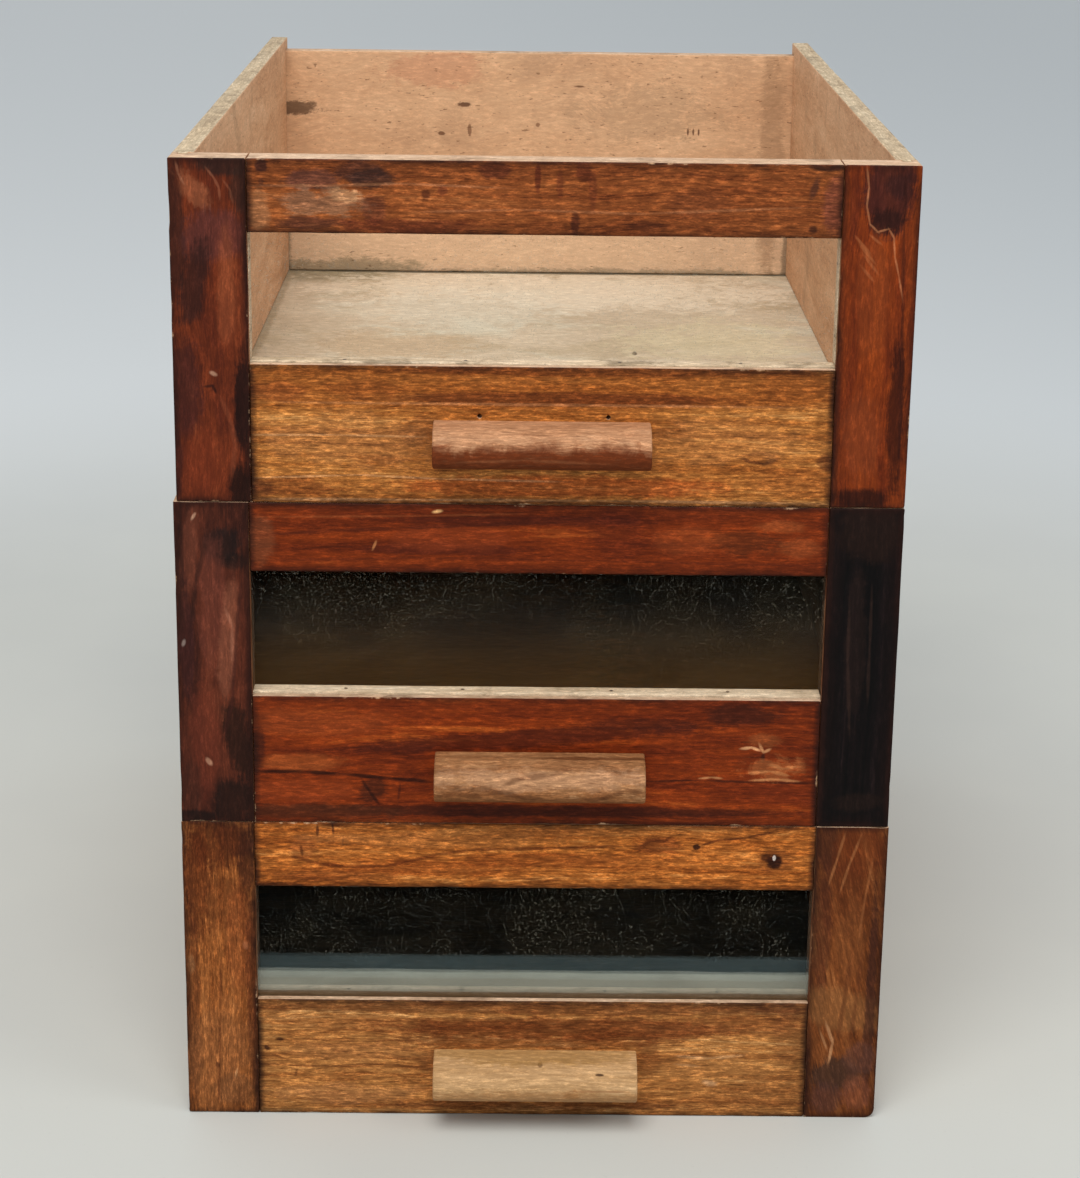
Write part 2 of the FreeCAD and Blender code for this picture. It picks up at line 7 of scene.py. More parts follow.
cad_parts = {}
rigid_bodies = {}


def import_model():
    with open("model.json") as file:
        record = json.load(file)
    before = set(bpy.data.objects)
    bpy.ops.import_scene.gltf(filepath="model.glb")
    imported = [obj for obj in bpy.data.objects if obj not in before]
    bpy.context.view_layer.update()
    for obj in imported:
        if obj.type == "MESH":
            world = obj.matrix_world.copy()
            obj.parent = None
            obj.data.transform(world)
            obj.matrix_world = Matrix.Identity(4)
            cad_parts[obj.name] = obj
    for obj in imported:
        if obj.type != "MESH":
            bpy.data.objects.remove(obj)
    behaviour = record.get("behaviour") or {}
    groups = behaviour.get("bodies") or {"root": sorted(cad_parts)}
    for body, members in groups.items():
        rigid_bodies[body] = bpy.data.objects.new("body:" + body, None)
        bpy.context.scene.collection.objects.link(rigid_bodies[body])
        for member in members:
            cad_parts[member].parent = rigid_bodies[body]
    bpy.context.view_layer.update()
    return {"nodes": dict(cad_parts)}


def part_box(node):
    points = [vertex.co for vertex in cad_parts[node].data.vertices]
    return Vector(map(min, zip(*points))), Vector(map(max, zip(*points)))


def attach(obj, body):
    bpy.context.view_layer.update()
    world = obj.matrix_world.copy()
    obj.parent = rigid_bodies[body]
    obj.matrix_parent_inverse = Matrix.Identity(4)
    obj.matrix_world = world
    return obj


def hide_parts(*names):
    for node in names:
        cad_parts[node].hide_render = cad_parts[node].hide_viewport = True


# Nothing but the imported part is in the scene
for leftover in list(bpy.data.objects):
    bpy.data.objects.remove(leftover)

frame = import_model()

MM = 0.001
DRAWERS = ("upper", "middle", "lower")
AXES = "xyz"


def srgb(red, green, blue):
    """The linear colour of an 8-bit display colour."""
    def linear(value):
        value /= 255
        return value / 12.92 if value <= 0.04045 else ((value + 0.055) / 1.055) ** 2.4
    return (linear(red), linear(green), linear(blue), 1.0)


# Materials

class Graph:
    """A node material, put together from short calls that hand on sockets."""

    def __init__(self, name):
        self.material = bpy.data.materials.new(name)
        self.material.use_nodes = True
        self.nodes = self.material.node_tree.nodes
        self.links = self.material.node_tree.links
        self.nodes.clear()

    def add(self, kind, inputs=None, **settings):
        node = self.nodes.new(kind)
        for key, value in settings.items():
            setattr(node, key, value)
        for key, value in (inputs or {}).items():
            if isinstance(value, bpy.types.NodeSocket):
                self.links.new(value, node.inputs[key])
            else:
                node.inputs[key].default_value = value
        return node

    def math(self, operation, first, second=0.0, clamp=False):
        return self.add("ShaderNodeMath", {0: first, 1: second}, operation=operation,
                        use_clamp=clamp).outputs[0]

    def vector(self, operation, first, second):
        return self.add("ShaderNodeVectorMath", {0: first, 1: second},
                        operation=operation).outputs[0]

    def mix(self, factor, first, second, blend="MIX"):
        return self.add("ShaderNodeMix", {0: factor, 6: first, 7: second}, data_type="RGBA",
                        blend_type=blend, clamp_factor=True).outputs[2]

    def step(self, value, low, high, start=0.0, end=1.0):
        """Rises smoothly from start to end as value goes from low to high."""
        return self.add("ShaderNodeMapRange", {0: value, 1: low, 2: high, 3: start, 4: end},
                        interpolation_type="SMOOTHSTEP").outputs[0]

    def ramp(self, factor, stops):
        node = self.add("ShaderNodeValToRGB", {0: factor})
        elements = node.color_ramp.elements
        while len(elements) < len(stops):
            elements.new(0.5)
        for element, (position, colour) in zip(elements, stops):
            element.position = position
            element.color = colour
        return node.outputs[0]

    def noise(self, vector, scale=1.0, detail=2.0, roughness=0.5, distortion=0.0, colour=False):
        node = self.add("ShaderNodeTexNoise", {"Vector": vector, "Scale": scale, "Detail": detail,
                                               "Roughness": roughness, "Distortion": distortion})
        return node.outputs[1 if colour else 0]

    def point(self):
        """Place on the piece in millimetres."""
        place = self.add("ShaderNodeTexCoord").outputs["Object"]
        return self.vector("MULTIPLY", place, (1000, 1000, 1000))

    def along(self, point, grain, length, width):
        """The point in a space where the grain's features are 1 long and 1 wide."""
        scales = [1 / width] * 3
        scales[AXES.index(grain)] = 1 / length
        return self.vector("MULTIPLY", point, scales)

    def centred(self, field, amount):
        """A field from 0 to 1, moved to lie round 0 and scaled."""
        return self.math("MULTIPLY", self.math("SUBTRACT", field, 0.5), amount)

    def attribute(self, name):
        return self.add("ShaderNodeAttribute", attribute_name=name).outputs["Fac"]

    def finish(self, shader):
        output = self.add("ShaderNodeOutputMaterial")
        self.links.new(shader, output.inputs["Surface"])
        return self.material


def spot_mask(graph, point, ragged, mark):
    """1 inside a ragged ellipsoid, falling to 0 round it."""
    edge = 1.3
    centre, radii, softness = mark["at"], mark["size"], mark.get("soft", 0.6)
    offset = graph.vector("SUBTRACT", point, centre)
    if "tilt" in mark:
        offset = graph.add("ShaderNodeVectorRotate",
                           {"Vector": offset, "Angle": math.radians(mark["tilt"])},
                           rotation_type="Y_AXIS").outputs[0]
    scaled = graph.vector("DIVIDE", offset, radii)
    distance = graph.add("ShaderNodeVectorMath", {0: scaled}, operation="LENGTH").outputs[1]
    distance = graph.math("ADD", distance, graph.math("MULTIPLY", ragged, mark.get("ragged", 1.2)))
    return graph.step(distance, edge - softness, edge, mark["strength"], 0.0)


def board_fields(g, grain, seed, sizes, wobble, lean):
    """The noise fields that a board's looks are made of, from broad bands to fibres."""
    seed_shift = (137.0, 71.0, 193.0)
    here = g.point()
    point = g.vector("ADD", here, tuple(seed * each for each in seed_shift))
    if lean:
        point = g.add("ShaderNodeVectorRotate", {"Vector": point, "Angle": math.radians(lean)},
                      rotation_type="Y_AXIS").outputs[0]
    sway = g.vector("SUBTRACT", g.noise(point, scale=0.011, colour=True), (0.5, 0.5, 0.5))
    bent = g.vector("ADD", point, g.vector("MULTIPLY", sway, (wobble * 2,) * 3))
    line_length = sizes[0] * 0.7
    return {
        "grain": grain, "here": here, "point": point, "bent": bent,
        "bands": g.noise(g.along(bent, grain, *sizes), detail=4, roughness=0.55),
        "lines": g.noise(g.along(bent, grain, line_length, width=3.2), detail=3, roughness=0.6),
        "fibres": g.noise(g.along(bent, grain, length=11, width=0.9), detail=4, roughness=0.7),
        "mottle": g.noise(g.along(point, grain, length=7.5, width=2.1), detail=5, roughness=0.82),
        "cloud": g.noise(point, scale=0.021, detail=5, roughness=0.62, distortion=0.7)}


def board_tones(g, fields, tones, contrast):
    """The wood's own colour, from its darkest to its palest tone."""
    tone = g.math("ADD", 0.5, g.centred(fields["bands"], contrast[0]))
    for field, amount in (("lines", contrast[1]), ("fibres", contrast[2]), ("cloud", 0.5)):
        tone = g.math("ADD", tone, g.centred(fields[field], amount))
    return g.ramp(tone, [(i / (len(tones) - 1), srgb(*each)) for i, each in enumerate(tones)])


def with_blotch(g, fields, colour, blotch):
    patchy = g.noise(g.along(fields["bent"], fields["grain"], *blotch["size"]), detail=5,
                     roughness=0.65, distortion=0.6)
    mask = g.step(patchy, *blotch["range"], 0.0, blotch["strength"])
    return g.mix(mask, colour, srgb(*blotch["colour"]))


def with_grime(g, fields, colour, grime):
    elsewhere = g.vector("ADD", fields["point"], (31, 57, 11))
    settled = g.noise(elsewhere, 1 / grime["size"], detail=6, roughness=0.65, distortion=0.4)
    mask = g.step(settled, *grime["range"], 0.0, grime["strength"])
    return g.mix(mask, colour, srgb(*grime["colour"]))


def with_marks(g, fields, colour, marks):
    """Lays each mark over the colour, with an edge torn by the clouds and the fibres."""
    cloudy = g.centred(fields["cloud"], 0.7)
    rough = g.noise(fields["point"], scale=0.085, detail=6, roughness=0.7, distortion=0.6)
    torn = g.math("ADD", cloudy, g.centred(rough, 1.1))
    for each in marks:
        edge = g.math("ADD", torn, g.centred(fields["fibres"], each.get("fibrous", 0.7)))
        mask = spot_mask(g, fields["here"], edge, each)
        colour = g.mix(mask, colour, srgb(*each["colour"]))
    return colour


def with_pores(g, fields, colour, pores):
    dashes = g.noise(g.along(fields["point"], fields["grain"], pores["length"], pores["width"]))
    mask = g.step(dashes, *pores["range"], 0.0, pores["strength"])
    return g.mix(mask, colour, srgb(*pores["colour"]))


def with_rim(g, fields, colour, rim):
    """Darkens the arrises, where the mesh has the layer rim."""
    mask = g.math("MULTIPLY", g.attribute("rim"), g.step(fields["cloud"], 0.3, 0.6, 0.25, 1.0))
    return g.mix(g.math("MULTIPLY", mask, rim["strength"]), colour, srgb(*rim["colour"]))


def with_seam(g, fields, colour, seam):
    """Darkens the joints with the next members, where the mesh has the layer seam."""
    mask = g.math("MULTIPLY", g.attribute("seam"), g.step(fields["cloud"], 0.3, 0.65, 0.45, 1.0),
                  clamp=True)
    return g.mix(g.math("MULTIPLY", mask, seam["strength"]), colour, srgb(*seam["colour"]))


def with_speckle(g, fields, colour, speckle):
    """Brightens flecks and fibres and darkens the wood between them."""
    flecks = g.step(fields["mottle"], 0.48, 0.7, 1 - 0.18 * speckle, 1 + 0.62 * speckle)
    relit = g.math("ADD", g.math("ADD", flecks, g.centred(fields["mottle"], speckle * 1.5)),
                   g.centred(fields["fibres"], speckle * 1.05))
    return g.add("ShaderNodeVectorMath", {0: colour, "Scale": relit}, operation="SCALE").outputs[0]


def with_wear(g, fields, colour, worn):
    """Bares the nicked arrises, where the mesh has the layer wear."""
    nick = g.noise(fields["point"], scale=0.19, detail=3, roughness=0.65)
    spread = g.noise(fields["point"], scale=0.028)
    amount = g.math("ADD", g.attribute("wear"), g.centred(nick, 1.5))
    amount = g.math("ADD", amount, g.centred(spread, 1.6))
    mask = g.step(amount, worn["from"], worn["from"] + 0.35, 0.0, worn["strength"])
    return g.mix(mask, colour, srgb(*worn["colour"]))


def board_shader(g, fields, colour, roughness, bump):
    fibres, cloud, mottle = fields["fibres"], fields["cloud"], fields["mottle"]
    gloss = g.math("ADD", g.math("MULTIPLY", fibres, 0.5), g.math("MULTIPLY", cloud, 0.5))
    height = g.math("ADD", g.math("MULTIPLY", fibres, 0.6), g.math("MULTIPLY", mottle, 0.4))
    relief = g.add("ShaderNodeBump", {"Height": height, "Strength": bump, "Distance": 0.0006})
    return g.add("ShaderNodeBsdfPrincipled", {
        "Base Color": colour, "Roughness": g.step(gloss, 0.35, 0.65, *roughness),
        "Normal": relief.outputs[0], "Specular IOR Level": 0.08}).outputs[0]


def wood(name, grain, tones, seed, contrast=(1.3, 0.7, 0.9), sizes=(260, 20), wobble=10,
         blotch=None, marks=(), worn=None, seam=None, rim=None, roughness=(0.42, 0.62),
         pores=None, grime=None, bump=0.25, speckle=0.55, lean=0):
    """A board's finish. Sizes are its bands' length and width in millimetres, contrast is how
    much bands, lines and fibres tell, wobble bends them and lean turns them in degrees."""
    g = Graph(name)
    fields = board_fields(g, grain, seed, sizes, wobble, lean)
    colour = board_tones(g, fields, tones, contrast)
    if blotch:
        colour = with_blotch(g, fields, colour, blotch)
    if grime:
        colour = with_grime(g, fields, colour, grime)
    colour = with_marks(g, fields, colour, marks)
    if pores:
        colour = with_pores(g, fields, colour, pores)
    if rim:
        colour = with_rim(g, fields, colour, rim)
    if seam:
        colour = with_seam(g, fields, colour, seam)
    colour = with_speckle(g, fields, colour, speckle)
    if worn:
        colour = with_wear(g, fields, colour, worn)
    return g.finish(board_shader(g, fields, colour, roughness, bump))


# The stained fronts. Their marks are readings of the photograph, in its pixels (1080 x 1178), with
# half sizes; the functions here turn them into millimetres on the front face.

FRONT = -267.25
DARK_EDGE = {"strength": 0.75, "colour": (38, 18, 12)}
BURNT_RIM = {"strength": 0.85, "colour": (36, 16, 11)}
PALE_NICKS = {"from": 1.05, "strength": 0.75, "colour": (203, 163, 126)}
DARK_NICKS = dict(PALE_NICKS, **{"from": 1.35, "colour": (90, 66, 56)})
GOLD_PORES = {"length": 9, "width": 0.9, "range": (0.56, 0.7), "strength": 0.38,
              "colour": (88, 42, 16)}


def camera_turn(pitch, yaw, roll):
    """How a camera that looks to the backs is turned, from its three angles."""
    return (Matrix.Rotation(-yaw, 3, "Z") @ Matrix.Rotation(math.pi / 2 - pitch, 3, "X")
            @ Matrix.Rotation(roll, 3, "Z"))


# The camera that fits the stack's edges best: focal length and axis in pixels, eye in millimetres
READING_FOCAL = 2438.1
READING_AXIS = (540.0, 345.0)
READING_EYE = Vector((-11.2, -1546.05, 779.0))
READING_TURN = camera_turn(pitch=0.2404, yaw=0.0081, roll=0.0125)


def front_place(column, row):
    """The place on the front face, (x, z) in millimetres, that a pixel of the photograph shows."""
    axis_column, axis_row = READING_AXIS
    ray = READING_TURN @ Vector((column - axis_column, axis_row - row, -READING_FOCAL))
    place = READING_EYE + ray * ((FRONT - READING_EYE.y) / ray.y)
    return place.x, place.z


def without_sheen(colour):
    """A dark mark's colour as read, less the blue that the sky lends it in the photograph."""
    red, green, blue = colour
    if red + green + blue < 165 and blue > 0.45 * red:
        return (red, 0.95 * green, 0.72 * blue)
    return colour


def mark(x, z, width, height, colour, strength=0.8, y=FRONT, **more):
    """A mark on a front, from its middle and its half sizes in millimetres."""
    return {"at": (x, y, z), "size": (width, 30, height), "colour": colour, "strength": strength,
            **more}


def streak(points, width, colour, strength=0.8, **more):
    """A thin mark along a line of (x, z) points in millimetres, as one mark for each run."""
    marks = []
    more = {"ragged": 0.7, "soft": 0.9, **more}
    for (x0, z0), (x1, z1) in zip(points, points[1:]):
        half = math.hypot(x1 - x0, z1 - z0) / 2
        marks.append(mark((x0 + x1) / 2, (z0 + z1) / 2, half * 1.12 + width, width * 1.3, colour,
                          strength, tilt=math.degrees(math.atan2(z1 - z0, x1 - x0)), **more))
    return marks


def spot(column, row, across, down, colour, strength=0.8, **more):
    """A mark on the front face, from its middle and its half sizes in the photograph's pixels."""
    x, z = front_place(column, row)
    left, right = front_place(column - across, row)[0], front_place(column + across, row)[0]
    foot, top = front_place(column, row + down)[1], front_place(column, row - down)[1]
    return mark(x, z, (right - left) / 2, (top - foot) / 2, without_sheen(colour), strength,
                **more)


def stroke(columns, rows, width, colour, strength=0.8, **more):
    """A thin mark along a line of the photograph's pixels; width is half its width there."""
    places = [front_place(column, row) for column, row in zip(columns, rows)]
    foot = front_place(columns[0], rows[0] + width)[1]
    top = front_place(columns[0], rows[0] - width)[1]
    return streak(places, (top - foot) / 2, without_sheen(colour), strength, **more)


def stained_wood(member, grain, tones, marks, worn=PALE_NICKS, **settings):
    """The old stain of a stile or rail: dark along its joints, burnt at its rims, nicked pale."""
    return wood("wood_" + member, grain, tones, marks=marks, worn=worn, seam=DARK_EDGE,
                rim=BURNT_RIM, **settings)


def upper_left_stile():
    return stained_wood(
        "upper_left_stile", "z", [(38, 13, 9), (78, 31, 17), (106, 45, 22), (142, 72, 40)],
        seed=1, contrast=(1.2, 0.45, 0.6), sizes=(110, 16), wobble=8,
        marks=[
            spot(column=228, row=166, across=34, down=11, colour=(46, 30, 32), strength=0.85),
            spot(column=241, row=188, across=10, down=24, colour=(52, 34, 34), strength=0.75),
            spot(column=176, row=230, across=9, down=72, colour=(50, 28, 28), strength=0.7),
            spot(column=196, row=190, across=21, down=12, colour=(150, 86, 56), strength=0.5,
                 tilt=-48, ragged=1.8),
            spot(column=216, row=236, across=30, down=26, colour=(86, 46, 42), strength=0.6),
            spot(column=195, row=285, across=13, down=40, colour=(46, 25, 27), tilt=-14),
            spot(column=227, row=292, across=9, down=56, colour=(136, 70, 42), strength=0.45),
            spot(column=186, row=392, across=17, down=50, colour=(58, 27, 24), strength=0.75),
            spot(column=243, row=402, across=9, down=46, colour=(26, 12, 10), strength=0.9),
            spot(column=200, row=462, across=20, down=34, colour=(112, 46, 24), strength=0.5),
            spot(column=241, row=486, across=11, down=24, colour=(24, 13, 12), strength=0.9),
            spot(column=176, row=460, across=7, down=40, colour=(60, 28, 24), strength=0.6),
            *stroke(columns=(222, 231, 236, 232), rows=(398, 420, 445, 475), width=2.2,
                    colour=(140, 72, 46), strength=0.32),
            *stroke(columns=(177, 180, 185), rows=(163, 175, 184), width=1.1,
                    colour=(168, 112, 84), strength=0.35),
            *stroke(columns=(207, 215, 220, 221), rows=(168, 178, 188, 199), width=1.2,
                    colour=(162, 100, 72), strength=0.34),
            *stroke(columns=(224, 231, 234), rows=(180, 190, 203), width=1, colour=(150, 90, 64),
                    strength=0.28),
            *stroke(columns=(212, 216), rows=(372, 374), width=1.8, colour=(196, 150, 122),
                    strength=0.6),
            *stroke(columns=(205, 213, 217), rows=(386, 385, 392), width=1.2, colour=(30, 14, 12),
                    strength=0.7)])


def upper_right_stile():
    return stained_wood(
        "upper_right_stile", "z", [(58, 18, 7), (106, 41, 14), (134, 57, 18), (164, 82, 34)],
        seed=2, contrast=(1.1, 0.6, 0.6), sizes=(150, 12), wobble=9,
        marks=[
            spot(column=890, row=194, across=25, down=40, colour=(58, 27, 24), strength=0.85,
                 soft=0.5),
            spot(column=886, row=222, across=20, down=12, colour=(42, 19, 15), strength=0.85),
            spot(column=898, row=186, across=13, down=13, colour=(44, 24, 30), strength=0.6),
            spot(column=895, row=420, across=9, down=70, colour=(46, 16, 9)),
            spot(column=862, row=497, across=30, down=10, colour=(40, 16, 10), strength=0.88),
            spot(column=862, row=440, across=20, down=44, colour=(128, 60, 30), strength=0.5),
            spot(column=854, row=205, across=5, down=34, colour=(88, 34, 18), strength=0.5),
            spot(column=872, row=300, across=16, down=60, colour=(132, 62, 28), strength=0.4),
            *stroke(columns=(866, 868, 866, 869, 877, 888, 893, 894, 898, 902),
                    rows=(167, 188, 206, 224, 232, 229, 238, 256, 276, 300), width=0.9,
                    colour=(196, 128, 86), strength=0.4),
            *stroke(columns=(856, 868), rows=(238, 252), width=1.2, colour=(164, 96, 56),
                    strength=0.5),
            *stroke(columns=(860, 873), rows=(246, 262), width=1.2, colour=(164, 96, 56),
                    strength=0.5),
            *stroke(columns=(864, 876), rows=(256, 272), width=1.2, colour=(160, 92, 54),
                    strength=0.45),
            *stroke(columns=(862, 872), rows=(268, 280), width=1.2, colour=(160, 92, 54),
                    strength=0.4),
            *stroke(columns=(870, 880), rows=(236, 244), width=1.2, colour=(170, 100, 60),
                    strength=0.45),
            *stroke(columns=(905, 903, 902, 900, 898), rows=(172, 230, 300, 400, 500), width=1.6,
                    colour=(46, 18, 12), strength=0.55)])


def upper_top_rail():
    return stained_wood(
        "upper_top_rail", "x", [(64, 26, 12), (120, 61, 28), (149, 82, 40), (182, 114, 64)],
        seed=3, contrast=(1.1, 0.8, 0.9), sizes=(230, 9), wobble=5, speckle=1.0,
        pores=dict(GOLD_PORES, colour=(70, 32, 18)),
        marks=[
            spot(column=262, row=166, across=6, down=7, colour=(58, 30, 24), strength=0.85),
            spot(column=262, row=182, across=3, down=4, colour=(84, 44, 26)),
            spot(column=310, row=180, across=26, down=9, colour=(92, 56, 48), strength=0.65),
            spot(column=362, row=172, across=22, down=10, colour=(70, 42, 42), strength=0.7),
            spot(column=372, row=179, across=20, down=9, colour=(54, 36, 40)),
            spot(column=318, row=204, across=42, down=12, colour=(176, 130, 96), strength=0.45,
                 ragged=2.2),
            spot(column=345, row=196, across=13, down=6, colour=(200, 148, 104), strength=0.55,
                 ragged=2),
            spot(column=306, row=202, across=24, down=9, colour=(96, 62, 46), strength=0.35,
                 ragged=3.2),
            spot(column=426, row=195, across=5, down=5, colour=(88, 42, 24), strength=0.75),
            spot(column=443, row=190, across=5, down=5, colour=(108, 50, 30), strength=0.6),
            spot(column=375, row=210, across=12, down=15, colour=(92, 48, 32), strength=0.65),
            spot(column=310, row=223, across=34, down=7, colour=(90, 50, 38), strength=0.65),
            spot(column=410, row=226, across=70, down=7, colour=(104, 46, 26), strength=0.65),
            spot(column=494, row=171, across=16, down=8, colour=(80, 36, 22), strength=0.75),
            spot(column=538, row=178, across=3, down=14, colour=(92, 40, 22), strength=0.85),
            spot(column=560, row=185, across=4, down=15, colour=(100, 46, 26), strength=0.6),
            spot(column=584, row=170, across=8, down=12, colour=(86, 38, 20), strength=0.75),
            spot(column=593, row=192, across=4, down=18, colour=(100, 46, 26), strength=0.55),
            spot(column=575, row=224, across=5, down=13, colour=(64, 28, 17)),
            spot(column=648, row=226, across=20, down=5, colour=(80, 38, 20), strength=0.7),
            spot(column=260, row=212, across=12, down=20, colour=(182, 126, 84), strength=0.5),
            spot(column=836, row=206, across=13, down=28, colour=(124, 66, 50), strength=0.6),
            spot(column=700, row=205, across=30, down=14, colour=(110, 58, 32), strength=0.45),
            *stroke(columns=(812, 826, 844), rows=(167, 170, 167), width=2.6, colour=(52, 30, 22),
                    strength=0.85),
            *stroke(columns=(817, 811), rows=(180, 198), width=3, colour=(76, 44, 32),
                    strength=0.75),
            *stroke(columns=(811, 814), rows=(229, 230), width=3, colour=(56, 28, 18),
                    strength=0.85),
            *stroke(columns=(250, 330, 400, 500), rows=(186, 186, 184, 188), width=1.2,
                    colour=(168, 112, 76), strength=0.45),
            *stroke(columns=(420, 520, 640, 800), rows=(212, 210, 214, 208), width=1.2,
                    colour=(178, 116, 76), strength=0.4)])


def upper_bottom_rail():
    return stained_wood(
        "upper_bottom_rail", "x", [(96, 44, 14), (158, 91, 38), (186, 118, 56), (220, 160, 94)],
        seed=4, contrast=(0.9, 1.0, 1.0), sizes=(320, 8), wobble=3, speckle=1.25, pores=GOLD_PORES,
        marks=[
            spot(column=540, row=386, across=420, down=19, colour=(152, 82, 32), strength=0.6,
                 soft=0.3, ragged=0.35),
            spot(column=560, row=399, across=190, down=7, colour=(100, 46, 20), strength=0.75,
                 ragged=0.7),
            spot(column=600, row=371, across=220, down=5, colour=(112, 54, 22), strength=0.65,
                 ragged=0.8),
            spot(column=276, row=392, across=30, down=10, colour=(134, 68, 32), strength=0.55),
            spot(column=365, row=388, across=40, down=8, colour=(138, 74, 32), strength=0.5),
            spot(column=800, row=384, across=40, down=18, colour=(128, 66, 26), strength=0.45),
            spot(column=530, row=404, across=290, down=1.6, colour=(196, 132, 84), strength=0.45,
                 ragged=0.8, soft=0.8),
            spot(column=420, row=428, across=24, down=14, colour=(122, 62, 26), strength=0.65),
            spot(column=672, row=432, across=24, down=12, colour=(126, 66, 28), strength=0.6),
            spot(column=450, row=452, across=22, down=20, colour=(118, 62, 26), strength=0.5),
            spot(column=380, row=460, across=22, down=6, colour=(142, 76, 32), strength=0.5),
            spot(column=290, row=486, across=52, down=9, colour=(130, 66, 28), strength=0.6),
            spot(column=262, row=488, across=12, down=10, colour=(98, 50, 26), strength=0.6),
            # Painted light: paler under the handle, lifting the shadow that the handle casts on the
            # rail.
            spot(column=560, row=486, across=150, down=11, colour=(178, 84, 34), strength=0.7,
                 ragged=0.9),
            spot(column=800, row=484, across=60, down=14, colour=(164, 92, 42), strength=0.35),
            spot(column=760, row=458, across=22, down=8, colour=(146, 80, 36), strength=0.45),
            *stroke(columns=(742, 750, 764, 778), rows=(457, 461, 463, 458), width=1.8,
                    colour=(84, 42, 20)),
            *stroke(columns=(744, 760, 775), rows=(455, 452, 456), width=1.2, colour=(112, 58, 26),
                    strength=0.7),
            spot(column=826, row=462, across=9, down=9, colour=(104, 56, 32), strength=0.6),
            *stroke(columns=(250, 330, 420), rows=(434, 434, 436), width=1, colour=(216, 166, 118),
                    strength=0.45),
            *stroke(columns=(250, 360, 440, 560), rows=(477, 474, 478, 481), width=1,
                    colour=(214, 160, 112), strength=0.45),
            *stroke(columns=(255, 420, 600, 820), rows=(498, 499, 500, 503), width=1.3,
                    colour=(210, 158, 112), strength=0.5),
            spot(column=350, row=440, across=80, down=26, colour=(196, 134, 80), strength=0.3,
                 ragged=2),
            spot(column=720, row=440, across=90, down=20, colour=(196, 132, 76), strength=0.3,
                 ragged=2)])


def middle_left_stile():
    return stained_wood(
        "middle_left_stile", "z", [(28, 14, 13), (62, 29, 20), (92, 43, 27), (128, 70, 48)],
        seed=5, contrast=(1.2, 0.45, 0.5), sizes=(130, 14), wobble=7,
        marks=[
            spot(column=222, row=545, across=20, down=18, colour=(28, 20, 24), strength=0.85),
            spot(column=232, row=560, across=16, down=8, colour=(30, 20, 22), strength=0.7),
            spot(column=188, row=560, across=8, down=60, colour=(116, 62, 44), strength=0.5,
                 tilt=-6),
            spot(column=186, row=640, across=8, down=60, colour=(54, 28, 34), strength=0.75),
            spot(column=180, row=560, across=4, down=60, colour=(48, 26, 26), strength=0.6),
            spot(column=212, row=600, across=14, down=60, colour=(112, 58, 44), strength=0.45),
            spot(column=228, row=640, across=9, down=60, colour=(138, 80, 58), strength=0.5,
                 tilt=-4),
            spot(column=238, row=740, across=14, down=40, colour=(34, 20, 18), strength=0.85,
                 tilt=12),
            spot(column=232, row=800, across=24, down=24, colour=(26, 17, 18), strength=0.85,
                 tilt=20),
            spot(column=205, row=740, across=14, down=56, colour=(112, 50, 32), strength=0.5),
            spot(column=190, row=790, across=10, down=30, colour=(58, 32, 30), strength=0.6),
            spot(column=192, row=816, across=20, down=6, colour=(24, 16, 18), strength=0.85),
            *stroke(columns=(205, 196, 192), rows=(545, 580, 620), width=2.4, colour=(46, 26, 26),
                    strength=0.6),
            *stroke(columns=(240, 236, 232, 224), rows=(590, 640, 700, 735), width=1.6,
                    colour=(60, 28, 22), strength=0.6),
            *stroke(columns=(226, 232, 232), rows=(610, 625, 660), width=1.6,
                    colour=(166, 108, 84), strength=0.4),
            *stroke(columns=(192, 195), rows=(518, 513), width=1.3, colour=(196, 150, 122),
                    strength=0.7),
            *stroke(columns=(207, 210), rows=(759, 763), width=1.8, colour=(188, 138, 110),
                    strength=0.7),
            *stroke(columns=(183, 184), rows=(644, 640), width=1.4, colour=(170, 150, 140),
                    strength=0.6)])


def middle_right_stile():
    return stained_wood(
        "middle_right_stile", "z", [(5, 4, 4), (9, 7, 7), (17, 11, 11), (38, 26, 26)],
        seed=6, contrast=(1.1, 0.8, 0.5), sizes=(220, 7), wobble=3, worn=DARK_NICKS,
        marks=[
            # warmer than it reads in the photograph, so that it goes with the rest of the stile
            spot(column=872, row=535, across=34, down=28, colour=(34, 20, 15), strength=0.75),
            spot(column=856, row=640, across=10, down=90, colour=(40, 27, 30), strength=0.4,
                 ragged=1.6),
            *stroke(columns=(850, 848, 850), rows=(600, 660, 730), width=1.6, colour=(58, 42, 46),
                    strength=0.4),
            *stroke(columns=(872, 870, 868), rows=(590, 650, 700), width=1.4, colour=(58, 42, 46),
                    strength=0.35),
            spot(column=858, row=802, across=22, down=9, colour=(34, 22, 22), strength=0.5)])


